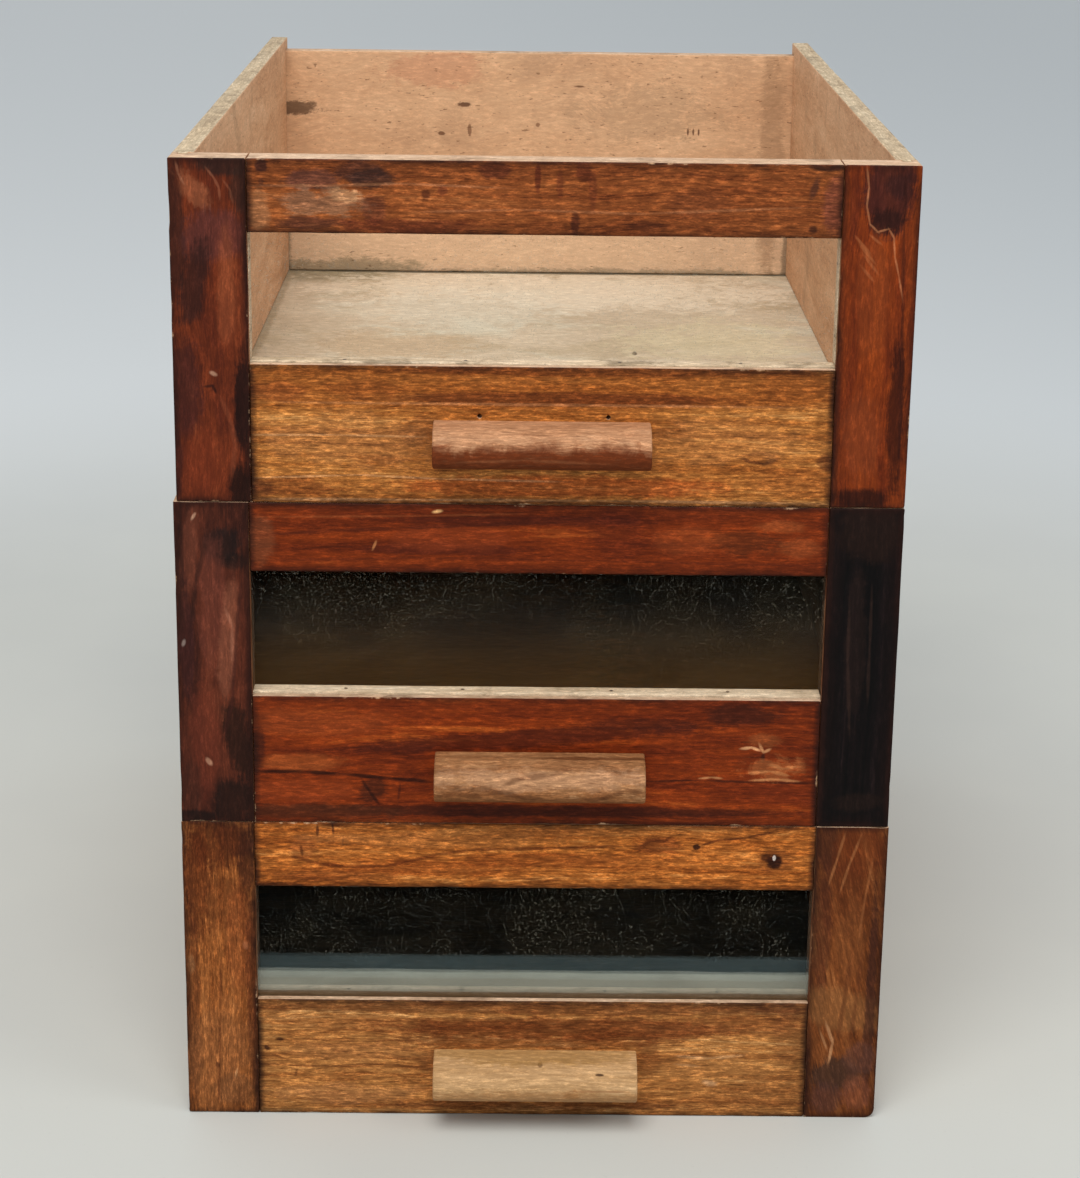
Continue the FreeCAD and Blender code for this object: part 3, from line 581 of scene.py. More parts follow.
def middle_top_rail():
    return stained_wood(
        "middle_top_rail", "x", [(62, 20, 7), (102, 38, 12), (130, 51, 15), (168, 82, 32)],
        seed=7, contrast=(1.25, 0.6, 0.6), sizes=(260, 9), wobble=4, speckle=0.75,
        marks=[
            spot(column=440, row=548, across=90, down=6, colour=(84, 32, 17), strength=0.6),
            spot(column=530, row=520, across=120, down=4, colour=(88, 34, 18), strength=0.55),
            spot(column=620, row=535, across=34, down=22, colour=(84, 30, 14), strength=0.5),
            spot(column=740, row=542, across=44, down=13, colour=(80, 38, 17), strength=0.62,
                 ragged=1.6),
            spot(column=780, row=526, across=24, down=6, colour=(160, 84, 42), strength=0.4),
            spot(column=690, row=540, across=34, down=14, colour=(146, 68, 32), strength=0.4),
            spot(column=450, row=538, across=60, down=12, colour=(146, 62, 28), strength=0.45),
            spot(column=260, row=540, across=14, down=24, colour=(128, 72, 44), strength=0.5),
            spot(column=800, row=548, across=20, down=10, colour=(150, 76, 38), strength=0.4),
            *stroke(columns=(262, 330, 400, 480, 560), rows=(534, 530, 527, 524, 521), width=1.8,
                    colour=(68, 26, 14), strength=0.6),
            *stroke(columns=(260, 420, 600, 815), rows=(560, 557, 560, 565), width=1.4,
                    colour=(84, 32, 16), strength=0.4),
            *stroke(columns=(434, 441), rows=(511, 510), width=1.4, colour=(222, 170, 110),
                    strength=0.85),
            *stroke(columns=(373, 376), rows=(548, 541), width=1.1, colour=(200, 130, 80),
                    strength=0.7),
            *stroke(columns=(262, 420, 520), rows=(516, 515, 513), width=1, colour=(170, 90, 48),
                    strength=0.35)])


def middle_bottom_rail():
    return stained_wood(
        "middle_bottom_rail", "x", [(58, 18, 7), (104, 38, 12), (134, 53, 15), (174, 86, 32)],
        seed=8, contrast=(1.35, 0.6, 0.6), sizes=(220, 9), wobble=5, speckle=0.75,
        marks=[
            spot(column=520, row=738, across=170, down=9, colour=(74, 28, 15), strength=0.75,
                 tilt=4),
            spot(column=640, row=724, across=60, down=6, colour=(70, 28, 16), strength=0.6),
            spot(column=745, row=715, across=34, down=10, colour=(62, 26, 15), strength=0.75),
            spot(column=320, row=722, across=70, down=14, colour=(142, 66, 30), strength=0.4),
            spot(column=300, row=762, across=46, down=9, colour=(166, 84, 38), strength=0.5),
            spot(column=300, row=790, across=60, down=11, colour=(140, 60, 26), strength=0.45),
            # Painted shadow under the handle, running on as a dark band along the rail's foot.
            spot(column=540, row=811, across=260, down=6, colour=(60, 24, 13), ragged=0.8),
            spot(column=320, row=811, across=90, down=7, colour=(78, 38, 20), strength=0.7),
            spot(column=790, row=790, across=40, down=14, colour=(120, 46, 20), strength=0.3),
            spot(column=372, row=790, across=12, down=14, colour=(62, 28, 15), strength=0.75,
                 tilt=-50),
            spot(column=258, row=748, across=7, down=20, colour=(60, 26, 16), strength=0.7),
            *stroke(columns=(255, 300, 345, 390, 430), rows=(771, 771, 774, 778, 781), width=1.7,
                    colour=(36, 14, 8), strength=0.85),
            *stroke(columns=(362, 370, 378), rows=(780, 792, 803), width=1.5, colour=(40, 16, 9),
                    strength=0.75),
            *stroke(columns=(400, 398), rows=(784, 800), width=1, colour=(66, 26, 14),
                    strength=0.6),
            *stroke(columns=(648, 700, 760, 820), rows=(781, 780, 782, 783), width=1.1,
                    colour=(60, 24, 13)),
            *stroke(columns=(700, 712, 722), rows=(778, 777, 778), width=1, colour=(214, 150, 98),
                    strength=0.6),
            *stroke(columns=(742, 752, 760), rows=(748, 747, 750), width=1.4,
                    colour=(224, 164, 116), strength=0.85, ragged=0.9),
            *stroke(columns=(760, 764, 770), rows=(744, 752, 749), width=1.3,
                    colour=(214, 150, 102), ragged=0.9),
            *stroke(columns=(764, 763), rows=(754, 760), width=2, colour=(52, 22, 14),
                    strength=0.85),
            *stroke(columns=(770, 784, 798), rows=(764, 768, 766), width=1.8,
                    colour=(204, 134, 82), strength=0.6, ragged=1.4),
            *stroke(columns=(748, 770, 790), rows=(773, 771, 775), width=1.5,
                    colour=(206, 138, 86), strength=0.55, ragged=1.4),
            *stroke(columns=(752, 775, 800), rows=(780, 779, 781), width=1.3,
                    colour=(210, 144, 92), strength=0.6, ragged=1.2),
            spot(column=776, row=768, across=34, down=12, colour=(176, 104, 58), strength=0.4,
                 ragged=2.4),
            spot(column=762, row=740, across=18, down=7, colour=(150, 84, 44), strength=0.4,
                 ragged=1.8),
            *stroke(columns=(818, 821), rows=(773, 771), width=1.6, colour=(214, 170, 140))])


def lower_left_stile():
    return stained_wood(
        "lower_left_stile", "z", [(78, 36, 15), (133, 73, 32), (165, 99, 50), (194, 132, 79)],
        seed=9, contrast=(0.9, 0.6, 0.9), sizes=(240, 12), wobble=4, speckle=1.0,
        pores=dict(GOLD_PORES, strength=0.3),
        marks=[
            spot(column=236, row=840, across=24, down=14, colour=(56, 30, 20), tilt=-30),
            spot(column=215, row=842, across=34, down=24, colour=(84, 38, 16)),
            spot(column=245, row=860, across=8, down=34, colour=(66, 32, 18), strength=0.75),
            spot(column=195, row=880, across=14, down=60, colour=(88, 38, 15), strength=0.65),
            spot(column=222, row=905, across=26, down=26, colour=(96, 46, 20), strength=0.5),
            spot(column=238, row=940, across=13, down=50, colour=(136, 70, 34), strength=0.5),
            spot(column=192, row=1000, across=7, down=110, colour=(98, 50, 26), strength=0.5),
            spot(column=251, row=1000, across=5, down=110, colour=(92, 44, 22), strength=0.6),
            spot(column=236, row=1092, across=20, down=16, colour=(98, 62, 38), strength=0.5),
            spot(column=215, row=1060, across=34, down=50, colour=(154, 100, 60), strength=0.35),
            *stroke(columns=(220, 219, 218, 217), rows=(960, 1010, 1060, 1108), width=1.2,
                    colour=(92, 46, 22), strength=0.6),
            *stroke(columns=(216, 216), rows=(1065, 1068), width=1.6, colour=(70, 34, 18)),
            *stroke(columns=(244, 245), rows=(944, 948), width=2, colour=(196, 120, 78),
                    strength=0.6),
            *stroke(columns=(236, 234), rows=(1070, 1078), width=1, colour=(190, 140, 96),
                    strength=0.6),
            spot(column=190, row=965, across=4, down=10, colour=(190, 134, 88), strength=0.35)])


def lower_right_stile():
    return stained_wood(
        "lower_right_stile", "z", [(50, 23, 12), (96, 49, 20), (126, 70, 33), (164, 104, 58)],
        seed=10, contrast=(1.2, 0.8, 0.7), sizes=(170, 8), wobble=5, speckle=0.65, lean=14,
        marks=[
            spot(column=830, row=846, across=12, down=24, colour=(64, 32, 20), strength=0.7),
            spot(column=862, row=850, across=26, down=30, colour=(104, 46, 18), strength=0.65),
            spot(column=850, row=895, across=30, down=34, colour=(90, 42, 18), strength=0.5),
            spot(column=824, row=930, across=8, down=70, colour=(74, 36, 22), strength=0.6),
            spot(column=852, row=940, across=14, down=40, colour=(128, 74, 38), strength=0.35),
            spot(column=845, row=1010, across=20, down=40, colour=(146, 96, 54), strength=0.5,
                 tilt=76),
            spot(column=872, row=1000, across=5, down=110, colour=(62, 34, 32), strength=0.75),
            spot(column=836, row=1076, across=26, down=16, colour=(62, 44, 44), strength=0.85),
            spot(column=826, row=1100, across=16, down=16, colour=(78, 48, 40), strength=0.7),
            spot(column=858, row=1096, across=14, down=16, colour=(134, 76, 52), strength=0.5),
            spot(column=862, row=1060, across=16, down=14, colour=(94, 58, 46), strength=0.6),
            *stroke(columns=(846, 838, 830), rows=(834, 860, 884), width=1.1,
                    colour=(172, 110, 66), strength=0.45),
            *stroke(columns=(862, 850, 842), rows=(836, 866, 890), width=1.1,
                    colour=(172, 110, 66), strength=0.4),
            *stroke(columns=(874, 866, 860), rows=(860, 900, 940), width=1.1, colour=(160, 98, 56),
                    strength=0.4),
            *stroke(columns=(852, 846, 840), rows=(960, 1000, 1035), width=2, colour=(92, 48, 24),
                    strength=0.5),
            *stroke(columns=(864, 858, 852), rows=(950, 1000, 1040), width=1.8,
                    colour=(96, 50, 26), strength=0.45),
            *stroke(columns=(828, 834, 830), rows=(1026, 1044, 1064), width=1.2,
                    colour=(196, 142, 98), strength=0.6),
            *stroke(columns=(822, 828), rows=(1034, 1050), width=1, colour=(190, 136, 92),
                    strength=0.5),
            *stroke(columns=(888, 882, 878, 877), rows=(940, 1000, 1060, 1105), width=1.4,
                    colour=(44, 24, 24), strength=0.6)])


def lower_top_rail():
    return stained_wood(
        "lower_top_rail", "x", [(98, 44, 13), (157, 84, 31), (191, 112, 48), (224, 153, 84)],
        seed=11, contrast=(1.05, 1.1, 1.0), sizes=(200, 9), wobble=6, speckle=1.15,
        pores=GOLD_PORES,
        marks=[
            spot(column=420, row=868, across=110, down=8, colour=(146, 70, 26), strength=0.5),
            spot(column=540, row=860, across=90, down=7, colour=(148, 72, 28), strength=0.4),
            spot(column=330, row=876, across=70, down=5, colour=(134, 68, 30), strength=0.5),
            spot(column=660, row=845, across=24, down=9, colour=(120, 58, 26), strength=0.65),
            spot(column=620, row=862, across=60, down=9, colour=(160, 84, 34), strength=0.3),
            spot(column=303, row=848, across=13, down=12, colour=(140, 76, 38), strength=0.5,
                 ragged=2),
            spot(column=775, row=860, across=20, down=12, colour=(112, 58, 26), strength=0.55),
            spot(column=330, row=838, across=40, down=4, colour=(150, 86, 42), strength=0.4),
            *stroke(columns=(296, 320, 350, 385, 410, 440, 470, 500, 560, 620),
                    rows=(858, 864, 867, 866, 861, 854, 850, 849, 848, 846), width=1.5, colour=(96,
                    42, 16), strength=0.75, ragged=0.5),
            *stroke(columns=(640, 652, 664, 672), rows=(848, 840, 842, 836), width=1.4,
                    colour=(92, 42, 18), strength=0.6),
            *stroke(columns=(300, 302), rows=(846, 856), width=1.2, colour=(84, 40, 18),
                    strength=0.7),
            *stroke(columns=(317, 317), rows=(826, 836), width=1.2, colour=(64, 28, 14)),
            *stroke(columns=(332, 333), rows=(824, 834), width=1.2, colour=(64, 28, 14)),
            *stroke(columns=(343, 342), rows=(836, 844), width=1, colour=(96, 46, 22),
                    strength=0.6),
            *stroke(columns=(700, 720, 745, 775), rows=(846, 840, 838, 832), width=1.2,
                    colour=(80, 36, 16), strength=0.75),
            spot(column=697, row=847, across=4, down=3, colour=(44, 18, 10), strength=0.95,
                 ragged=0.7),
            spot(column=775, row=862, across=8, down=7, colour=(40, 17, 10), strength=0.97,
                 ragged=0.9),
            spot(column=767, row=858, across=6, down=4, colour=(64, 28, 14)),
            spot(column=775, row=858, across=1.6, down=2.6, colour=(214, 200, 190), strength=0.9,
                 ragged=0.4),
            *stroke(columns=(738, 760, 772), rows=(866, 868, 872), width=1.6, colour=(110, 54, 24),
                    strength=0.5),
            *stroke(columns=(780, 795), rows=(872, 868), width=1.4, colour=(110, 54, 24),
                    strength=0.4),
            *stroke(columns=(520, 545, 560), rows=(878, 882, 880), width=1.6, colour=(104, 50, 22),
                    strength=0.5, ragged=1.6),
            spot(column=430, row=840, across=110, down=8, colour=(190, 124, 66), strength=0.35,
                 ragged=1.6),
            spot(column=560, row=832, across=120, down=4, colour=(186, 116, 60), strength=0.3)])


def lower_bottom_rail():
    return stained_wood(
        "lower_bottom_rail", "x", [(90, 44, 18), (153, 93, 45), (189, 127, 68), (224, 170, 109)],
        seed=12, contrast=(0.95, 0.9, 1.0), sizes=(230, 9), wobble=4, speckle=1.1, pores=GOLD_PORES,
        marks=[
            spot(column=560, row=1030, across=190, down=12, colour=(98, 44, 18), strength=0.75,
                 ragged=0.9),
            spot(column=540, row=1010, across=330, down=6, colour=(112, 60, 30), strength=0.65,
                 ragged=0.8),
            spot(column=330, row=1022, across=80, down=9, colour=(140, 80, 40), strength=0.35),
            spot(column=520, row=1044, across=130, down=7, colour=(112, 56, 26), strength=0.6),
            spot(column=740, row=1026, across=70, down=12, colour=(132, 72, 34), strength=0.5),
            spot(column=782, row=1010, across=30, down=8, colour=(104, 56, 32), strength=0.5),
            spot(column=790, row=1040, across=18, down=34, colour=(120, 70, 38), strength=0.4),
            spot(column=440, row=1062, across=18, down=14, colour=(118, 68, 34), strength=0.5),
            spot(column=650, row=1062, across=12, down=22, colour=(116, 64, 30), strength=0.5),
            # Painted shadow, just under the handle.
            spot(column=540, row=1108, across=150, down=4, colour=(104, 54, 26), strength=0.7),
            spot(column=770, row=1096, across=50, down=18, colour=(128, 78, 40), strength=0.45),
            spot(column=340, row=1095, across=80, down=9, colour=(186, 130, 82), strength=0.35,
                 ragged=1.8),
            spot(column=350, row=1052, across=70, down=9, colour=(186, 126, 74), strength=0.35,
                 ragged=1.8),
            spot(column=720, row=1070, across=60, down=12, colour=(182, 124, 70), strength=0.35,
                 ragged=1.8),
            *stroke(columns=(264, 267), rows=(1048, 1050), width=2, colour=(50, 20, 12),
                    strength=0.9, ragged=0.5),
            *stroke(columns=(276, 282), rows=(1040, 1041), width=1.7, colour=(62, 28, 14),
                    strength=0.85, ragged=0.5),
            *stroke(columns=(270, 284), rows=(1056, 1060), width=1.2, colour=(96, 50, 24),
                    strength=0.6),
            *stroke(columns=(250, 280, 330, 380, 430), rows=(1066, 1066, 1068, 1066, 1070),
                    width=1.2, colour=(104, 56, 28), strength=0.55, ragged=0.9),
            *stroke(columns=(296, 294), rows=(1072, 1078), width=1.3, colour=(84, 44, 22),
                    strength=0.7),
            *stroke(columns=(330, 350), rows=(1052, 1053), width=1.1, colour=(92, 48, 24),
                    strength=0.6),
            *stroke(columns=(300, 360, 420), rows=(1040, 1043, 1041), width=1,
                    colour=(112, 62, 30), strength=0.45),
            *stroke(columns=(680, 710, 745), rows=(1058, 1060, 1057), width=1.6,
                    colour=(216, 166, 116), strength=0.45, ragged=1.4),
            *stroke(columns=(676, 700), rows=(1066, 1068), width=1.2, colour=(208, 156, 106),
                    strength=0.4),
            *stroke(columns=(706, 716), rows=(1084, 1086), width=2.4, colour=(222, 176, 132),
                    strength=0.5, ragged=1.4)])


STAINED = {member.__name__: member() for member in (
    upper_left_stile, upper_right_stile, upper_top_rail, upper_bottom_rail,
    middle_left_stile, middle_right_stile, middle_top_rail, middle_bottom_rail,
    lower_left_stile, lower_right_stile, lower_top_rail, lower_bottom_rail)}


# Bare wood: the boxes behind the fronts, the beads and the handles

BACK_FACE = 277.75
UPPER_FLOOR_TOP = 391.5
MIDDLE_FLOOR_TOP = 201.5
FLOOR_ROUGHNESS = (0.66, 0.84)
SPECKS = {"length": 5, "width": 1.6, "range": (0.66, 0.74), "strength": 0.6, "colour": (92, 62, 40)}


def dirt(size, low, high, colour, strength):
    """Grime or a blotch: clouds of a size in millimetres, whose edge lies from low to high."""
    return {"size": size, "range": (low, high), "colour": colour, "strength": strength}


def bare_wood(part, grain, tones, roughness=(0.62, 0.8), **settings):
    return wood("bare_wood_" + part, grain, tones, roughness=roughness, **settings)


def back_mark(x, z, width, height, colour, strength, **more):
    """A mark on the inside of the upper back, in millimetres."""
    return {"at": (x, BACK_FACE, z), "size": (width, 14, height), "colour": colour,
            "strength": strength, **more}


def floor_mark(x, y, width, depth, colour, strength=0.8, top=UPPER_FLOOR_TOP, **more):
    """A mark on the top of a floor, in millimetres."""
    return {"at": (x, y, top), "size": (width, depth, 9), "colour": colour,
            "strength": strength, **more}


def back_wood():
    stains = [
        back_mark(-179, 515, 15, 5, (84, 60, 44), 0.8, ragged=1.8),
        back_mark(-55, 518.6, 5, 1.7, (84, 52, 36), 0.85, ragged=1.2),
        back_mark(-51, 500, 1.3, 4, (104, 66, 46), 0.7, ragged=1.0),
        back_mark(-72, 497, 2.2, 1.3, (98, 62, 42), 0.8, ragged=1.0),
        back_mark(31, 533, 5, 1.0, (98, 66, 46), 0.8, ragged=1.4)]
    ticks = [back_mark(x, 500, 0.8, height, (86, 54, 38), 0.85)
             for x, height in ((112, 3), (116, 2.6), (120, 2.8))]
    clouds = [
        back_mark(0, 504, 1.6, 1.4, (110, 72, 50), 0.7),
        back_mark(80, 512, 44, 16, (176, 146, 116), 0.4, ragged=3.4),
        back_mark(-75, 545, 34, 12, (196, 140, 108), 0.5, ragged=2.0),
        back_mark(0, 410, 320, 46, (226, 198, 166), 0.55, ragged=0.8),
        back_mark(-150, 393, 60, 8, (140, 126, 100), 0.7, ragged=2.0),
        back_mark(60, 391, 150, 4, (150, 134, 108), 0.6, ragged=2.0),
        back_mark(-190, 410, 5, 30, (104, 90, 70), 0.6, ragged=1.0),
        back_mark(190, 405, 5, 30, (96, 82, 62), 0.6, ragged=1.0),
        back_mark(175, 470, 9, 90, (164, 130, 100), 0.6, ragged=1.4)]
    return bare_wood(
        "back", "x", [(176, 133, 101), (203, 161, 125), (213, 174, 138), (223, 190, 156)],
        seed=21, contrast=(0.9, 0.35, 0.5), sizes=(300, 40), wobble=30, speckle=0.25,
        grime=dirt(70, 0.5, 0.68, (176, 140, 110), 0.55), marks=stains + ticks + clouds,
        pores=SPECKS)


# Painted shade: a dark copy of the back's wood, for the inside face of the back in the middle and
# lower drawers, which get light only through their windows.
def shaded_back_wood():
    return bare_wood("shaded_back", "x", [(46, 34, 22), (68, 50, 33), (86, 65, 44), (106, 83, 59)],
                     seed=36, contrast=(1.1, 0.5, 0.6), sizes=(300, 40), wobble=30,
                     grime=dirt(60, 0.46, 0.66, (44, 38, 28), 0.75), pores=SPECKS)


def upper_floor_wood():
    return bare_wood(
        "upper_floor", "x", [(158, 142, 118), (188, 170, 144), (201, 184, 158), (216, 202, 178)],
        seed=22, contrast=(0.9, 0.4, 0.5), sizes=(240, 60), wobble=24, speckle=0.36,
        blotch=dirt((150, 80), 0.5, 0.66, (206, 200, 178), 0.75),
        grime=dirt(70, 0.5, 0.64, (176, 158, 128), 0.6),
        marks=[floor_mark(-34, 219, 2.5, 4, (80, 62, 46)),
               floor_mark(64, 22, 1.6, 5, (70, 54, 40)),
               floor_mark(-150, 262, 44, 26, (132, 122, 94), 0.7, ragged=2.0),
               floor_mark(20, 215, 170, 60, (228, 214, 190), 0.7, ragged=2.4),
               floor_mark(0, 279, 230, 6, (84, 74, 56), 0.85, ragged=0.8),
               floor_mark(-188, 150, 6, 200, (150, 132, 104), 0.6, ragged=1.0),
               floor_mark(-60, 150, 70, 60, (208, 202, 182), 0.45, ragged=2.4),
               floor_mark(-95, 40, 50, 40, (182, 156, 122), 0.5, ragged=2.4),
               floor_mark(120, 60, 60, 60, (208, 196, 160), 0.5, ragged=2.2)],
        roughness=FLOOR_ROUGHNESS)


# Painted shade, with dirt: tones far darker than the upper floor's, and a dark patch over its right
# half behind the front, for a floor that gets light only through the window.
def middle_floor_wood():
    return bare_wood(
        "middle_floor", "x", [(72, 50, 30), (104, 76, 48), (124, 92, 60), (146, 114, 78)],
        seed=26, contrast=(1.2, 0.5, 0.7), sizes=(260, 26), wobble=16,
        grime=dirt(48, 0.5, 0.7, (104, 84, 58), 0.7),
        marks=[floor_mark(150, 30, 120, 200, (60, 56, 44), top=MIDDLE_FLOOR_TOP, ragged=1.0)],
        pores=SPECKS, roughness=FLOOR_ROUGHNESS)


# Painted shade: near-black tones, for a floor shut in under the middle drawer and lit only through
# the window.
def lower_floor_wood():
    return bare_wood(
        "lower_floor", "x", [(48, 42, 32), (72, 62, 46), (88, 76, 58), (108, 96, 76)],
        seed=27, contrast=(1.2, 0.5, 0.7), sizes=(260, 26), wobble=16,
        grime=dirt(48, 0.46, 0.66, (58, 54, 44), 0.8), pores=SPECKS, roughness=FLOOR_ROUGHNESS)


def side_wood(drawer, tones, seed, wobble):
    return bare_wood("side_" + drawer, "y", tones, seed=seed, contrast=(1.2, 0.6, 0.7),
                     sizes=(200, 22), wobble=wobble, speckle=0.25, pores=SPECKS,
                     grime=dirt(60, 0.52, 0.7, (162, 132, 104), 0.55),
                     worn={"from": 1.1, "strength": 0.5, "colour": (214, 190, 160)})


# Painted shade: a dark copy of the side wood, for the inner faces of the middle and lower drawers'
# sides.
def shaded_side_wood():
    return bare_wood("shaded_side", "y", [(60, 42, 28), (92, 66, 44), (112, 84, 58), (134, 106, 78)],
                     seed=34, contrast=(1.2, 0.6, 0.7), sizes=(200, 22), wobble=18,
                     grime=dirt(60, 0.5, 0.68, (58, 48, 36), 0.7), pores=SPECKS)


def edge_woods():
    """Edges of the frames, rims of the boxes, and the stiles' edges that the stain laps over."""
    return {
        "edge": bare_wood(
            "edge", "x", [(150, 118, 92), (190, 156, 126), (206, 176, 148), (222, 200, 174)],
            seed=24, contrast=(1.0, 0.6, 0.9), sizes=(160, 9), wobble=6,
            grime=dirt(26, 0.5, 0.68, (120, 96, 76), 0.6), pores=SPECKS),
        "rim": bare_wood(
            "rim", "y", [(128, 110, 88), (176, 156, 128), (196, 178, 150), (214, 200, 176)],
            seed=29, contrast=(1.0, 0.7, 0.9), sizes=(190, 7), wobble=4,
            grime=dirt(30, 0.5, 0.68, (112, 98, 80), 0.6), pores=SPECKS),
        "lapped": bare_wood(
            "stain_lapped", "z", [(92, 54, 34), (134, 86, 56), (164, 118, 84), (190, 150, 116)],
            seed=30, contrast=(1.4, 0.7, 0.8), sizes=(90, 7), wobble=8,
            blotch=dirt((40, 14), 0.45, 0.6, (88, 42, 26), 0.8), pores=SPECKS,
            roughness=(0.55, 0.75))}


def bead_woods():
    return {
        # Painted shade: a dark copy of the bead, for the top and side beads in the middle and lower
        # windows.
        "shaded_bead": bare_wood(
            "shaded_bead", "z", [(48, 34, 24), (78, 58, 42), (98, 76, 58), (132, 108, 86)],
            seed=35, contrast=(1.2, 0.7, 0.8), sizes=(80, 6), wobble=4,
            grime=dirt(30, 0.48, 0.62, (40, 30, 24), 0.8), pores=SPECKS),
        "bead": bare_wood(
            "bead", "x", [(146, 124, 97), (194, 172, 142), (214, 194, 166), (232, 218, 196)],
            seed=25, contrast=(1.0, 0.7, 1.0), sizes=(120, 7), wobble=4,
            grime=dirt(22, 0.5, 0.66, (104, 88, 66), 0.6),
            worn={"from": 1.1, "strength": 0.5, "colour": (216, 196, 166)}),
        # Painted light: a paler copy of the bead, for the bottom bead of the middle window.
        "lit_bead": bare_wood(
            "lit_bead", "x", [(186, 162, 130), (226, 202, 170), (240, 220, 190), (248, 236, 214)],
            seed=39, contrast=(1.0, 0.7, 1.0), sizes=(120, 7), wobble=4,
            grime=dirt(22, 0.52, 0.68, (140, 118, 90), 0.45))}


BARE = {
    "back": back_wood(), "shaded_back": shaded_back_wood(), "upper_floor": upper_floor_wood(),
    "middle_floor": middle_floor_wood(), "lower_floor": lower_floor_wood(),
    "upper_side": side_wood(
        "upper", [(168, 126, 93), (198, 156, 121), (214, 175, 140), (226, 194, 162)], 23, 18),
    "middle_side": side_wood(
        "middle", [(148, 106, 74), (180, 136, 98), (198, 156, 118), (214, 178, 142)], 37, 12),
    "lower_side": side_wood(
        "lower", [(158, 120, 88), (186, 148, 114), (202, 168, 134), (218, 190, 158)], 38, 24),
    "shaded_side": shaded_side_wood(), **edge_woods(), **bead_woods()}


def handle_mark(x, y, z, width, depth, height, colour, strength, **more):
    """A mark on a handle, from its middle and its half sizes in millimetres."""
    return {"at": (x, y, z), "size": (width, depth, height), "colour": colour,
            "strength": strength, **more}


def handle_pores(length, colour):
    return {"length": length, "width": 0.8, "range": (0.58, 0.7), "strength": 0.5,
            "colour": colour}


def handle_wood(drawer, tones, **settings):
    return wood("handle_wood_" + drawer, "x", tones, roughness=(0.5, 0.7), bump=0.35, **settings)


def upper_handle_wood():
    """Bare on its upper half, with brown stain left on the lower."""
    return handle_wood(
        "upper", [(124, 84, 56), (166, 118, 84), (184, 136, 100), (204, 160, 126)],
        seed=31, contrast=(0.9, 0.6, 0.9), sizes=(90, 8), wobble=7,
        pores=handle_pores(7, (104, 62, 38)),
        marks=[handle_mark(0.9, -280, 411, 120, 60, 6, (146, 92, 58), 0.55, ragged=2.4),
               handle_mark(0.9, -280, 396.5, 300, 90, 16.2, (98, 42, 14), 0.97, ragged=0.6,
                           fibrous=0.5, soft=0.36),
               *streak([(-50, 406.5), (-8, 408.2), (30, 406.8)], 0.8, (146, 92, 58), 0.3,
                       y=-288, ragged=1.6)])


def middle_handle_wood():
    growth_line = (92, 52, 28)
    return handle_wood(
        "middle", [(96, 60, 34), (138, 92, 58), (156, 110, 72), (184, 138, 98)],
        seed=32, contrast=(1.3, 0.9, 1.0), sizes=(60, 6), wobble=16, speckle=0.7,
        pores=handle_pores(8, (98, 58, 34)),
        # Painted shade darkens the lower third, and a painted highlight lightens a band above the
        # middle.
        marks=[handle_mark(2.0, -285, 210, 90, 60, 6.5, (136, 84, 46), 0.6, ragged=2.2),
               handle_mark(2.0, -276, 222, 80, 30, 5, (200, 154, 116), 0.45, ragged=2.0),
               handle_mark(34, -275, 229.6, 40, 2.2, 3, growth_line, 0.8, ragged=0.8),
               *streak([(-30, 218), (-22, 216.5), (-9, 213.5), (4, 211.5)], 1.3, growth_line, 0.55,
                       y=-290, ragged=1.2),
               *streak([(-16, 221), (-8, 223.5), (8, 225), (20, 227.5)], 1.1, growth_line, 0.5,
                       y=-288, ragged=1.2),
               *streak([(26, 211.5), (38, 213), (50, 217.5), (58, 217)], 1.3, growth_line, 0.55,
                       y=-290, ragged=1.2),
               *streak([(-56, 213), (-44, 215), (-32, 213.5)], 1.2, growth_line, 0.5,
                       y=-290, ragged=1.2),
               *streak([(-60, 209.4), (0, 208.8), (58, 209.6)], 1.2, growth_line, 0.5,
                       y=-288, ragged=1.0)])


def lower_handle_wood():
    return handle_wood(
        "lower", [(138, 102, 66), (176, 137, 93), (193, 154, 110), (213, 178, 134)],
        seed=33, contrast=(0.9, 0.6, 0.8), sizes=(90, 7), wobble=8,
        marks=[handle_mark(38.6, -287, 38.4, 2.4, 12, 0.5, (70, 44, 26), 0.9, ragged=0.6),
               handle_mark(4.4, -280, 41.6, 1.4, 12, 0.7, (94, 64, 40), 0.7, ragged=0.6),
               # Painted shade: darker towards the foot of the handle.
               handle_mark(2, -285, 24, 90, 60, 5.5, (158, 110, 66), 0.55, ragged=1.8),
               handle_mark(22, -290, 27, 5, 12, 1.6, (134, 90, 50), 0.6, ragged=1.4),
               handle_mark(1.5, -270, 43, 90, 12, 3, (158, 118, 62), 0.5, ragged=2.0),
               *streak([(25, 30.5), (40, 30.2), (54, 30.4)], 0.6, (150, 98, 58), 0.5, y=-290)])


HANDLES = {"upper": upper_handle_wood(), "middle": middle_handle_wood(),
           "lower": lower_handle_wood()}


# Glass and steel

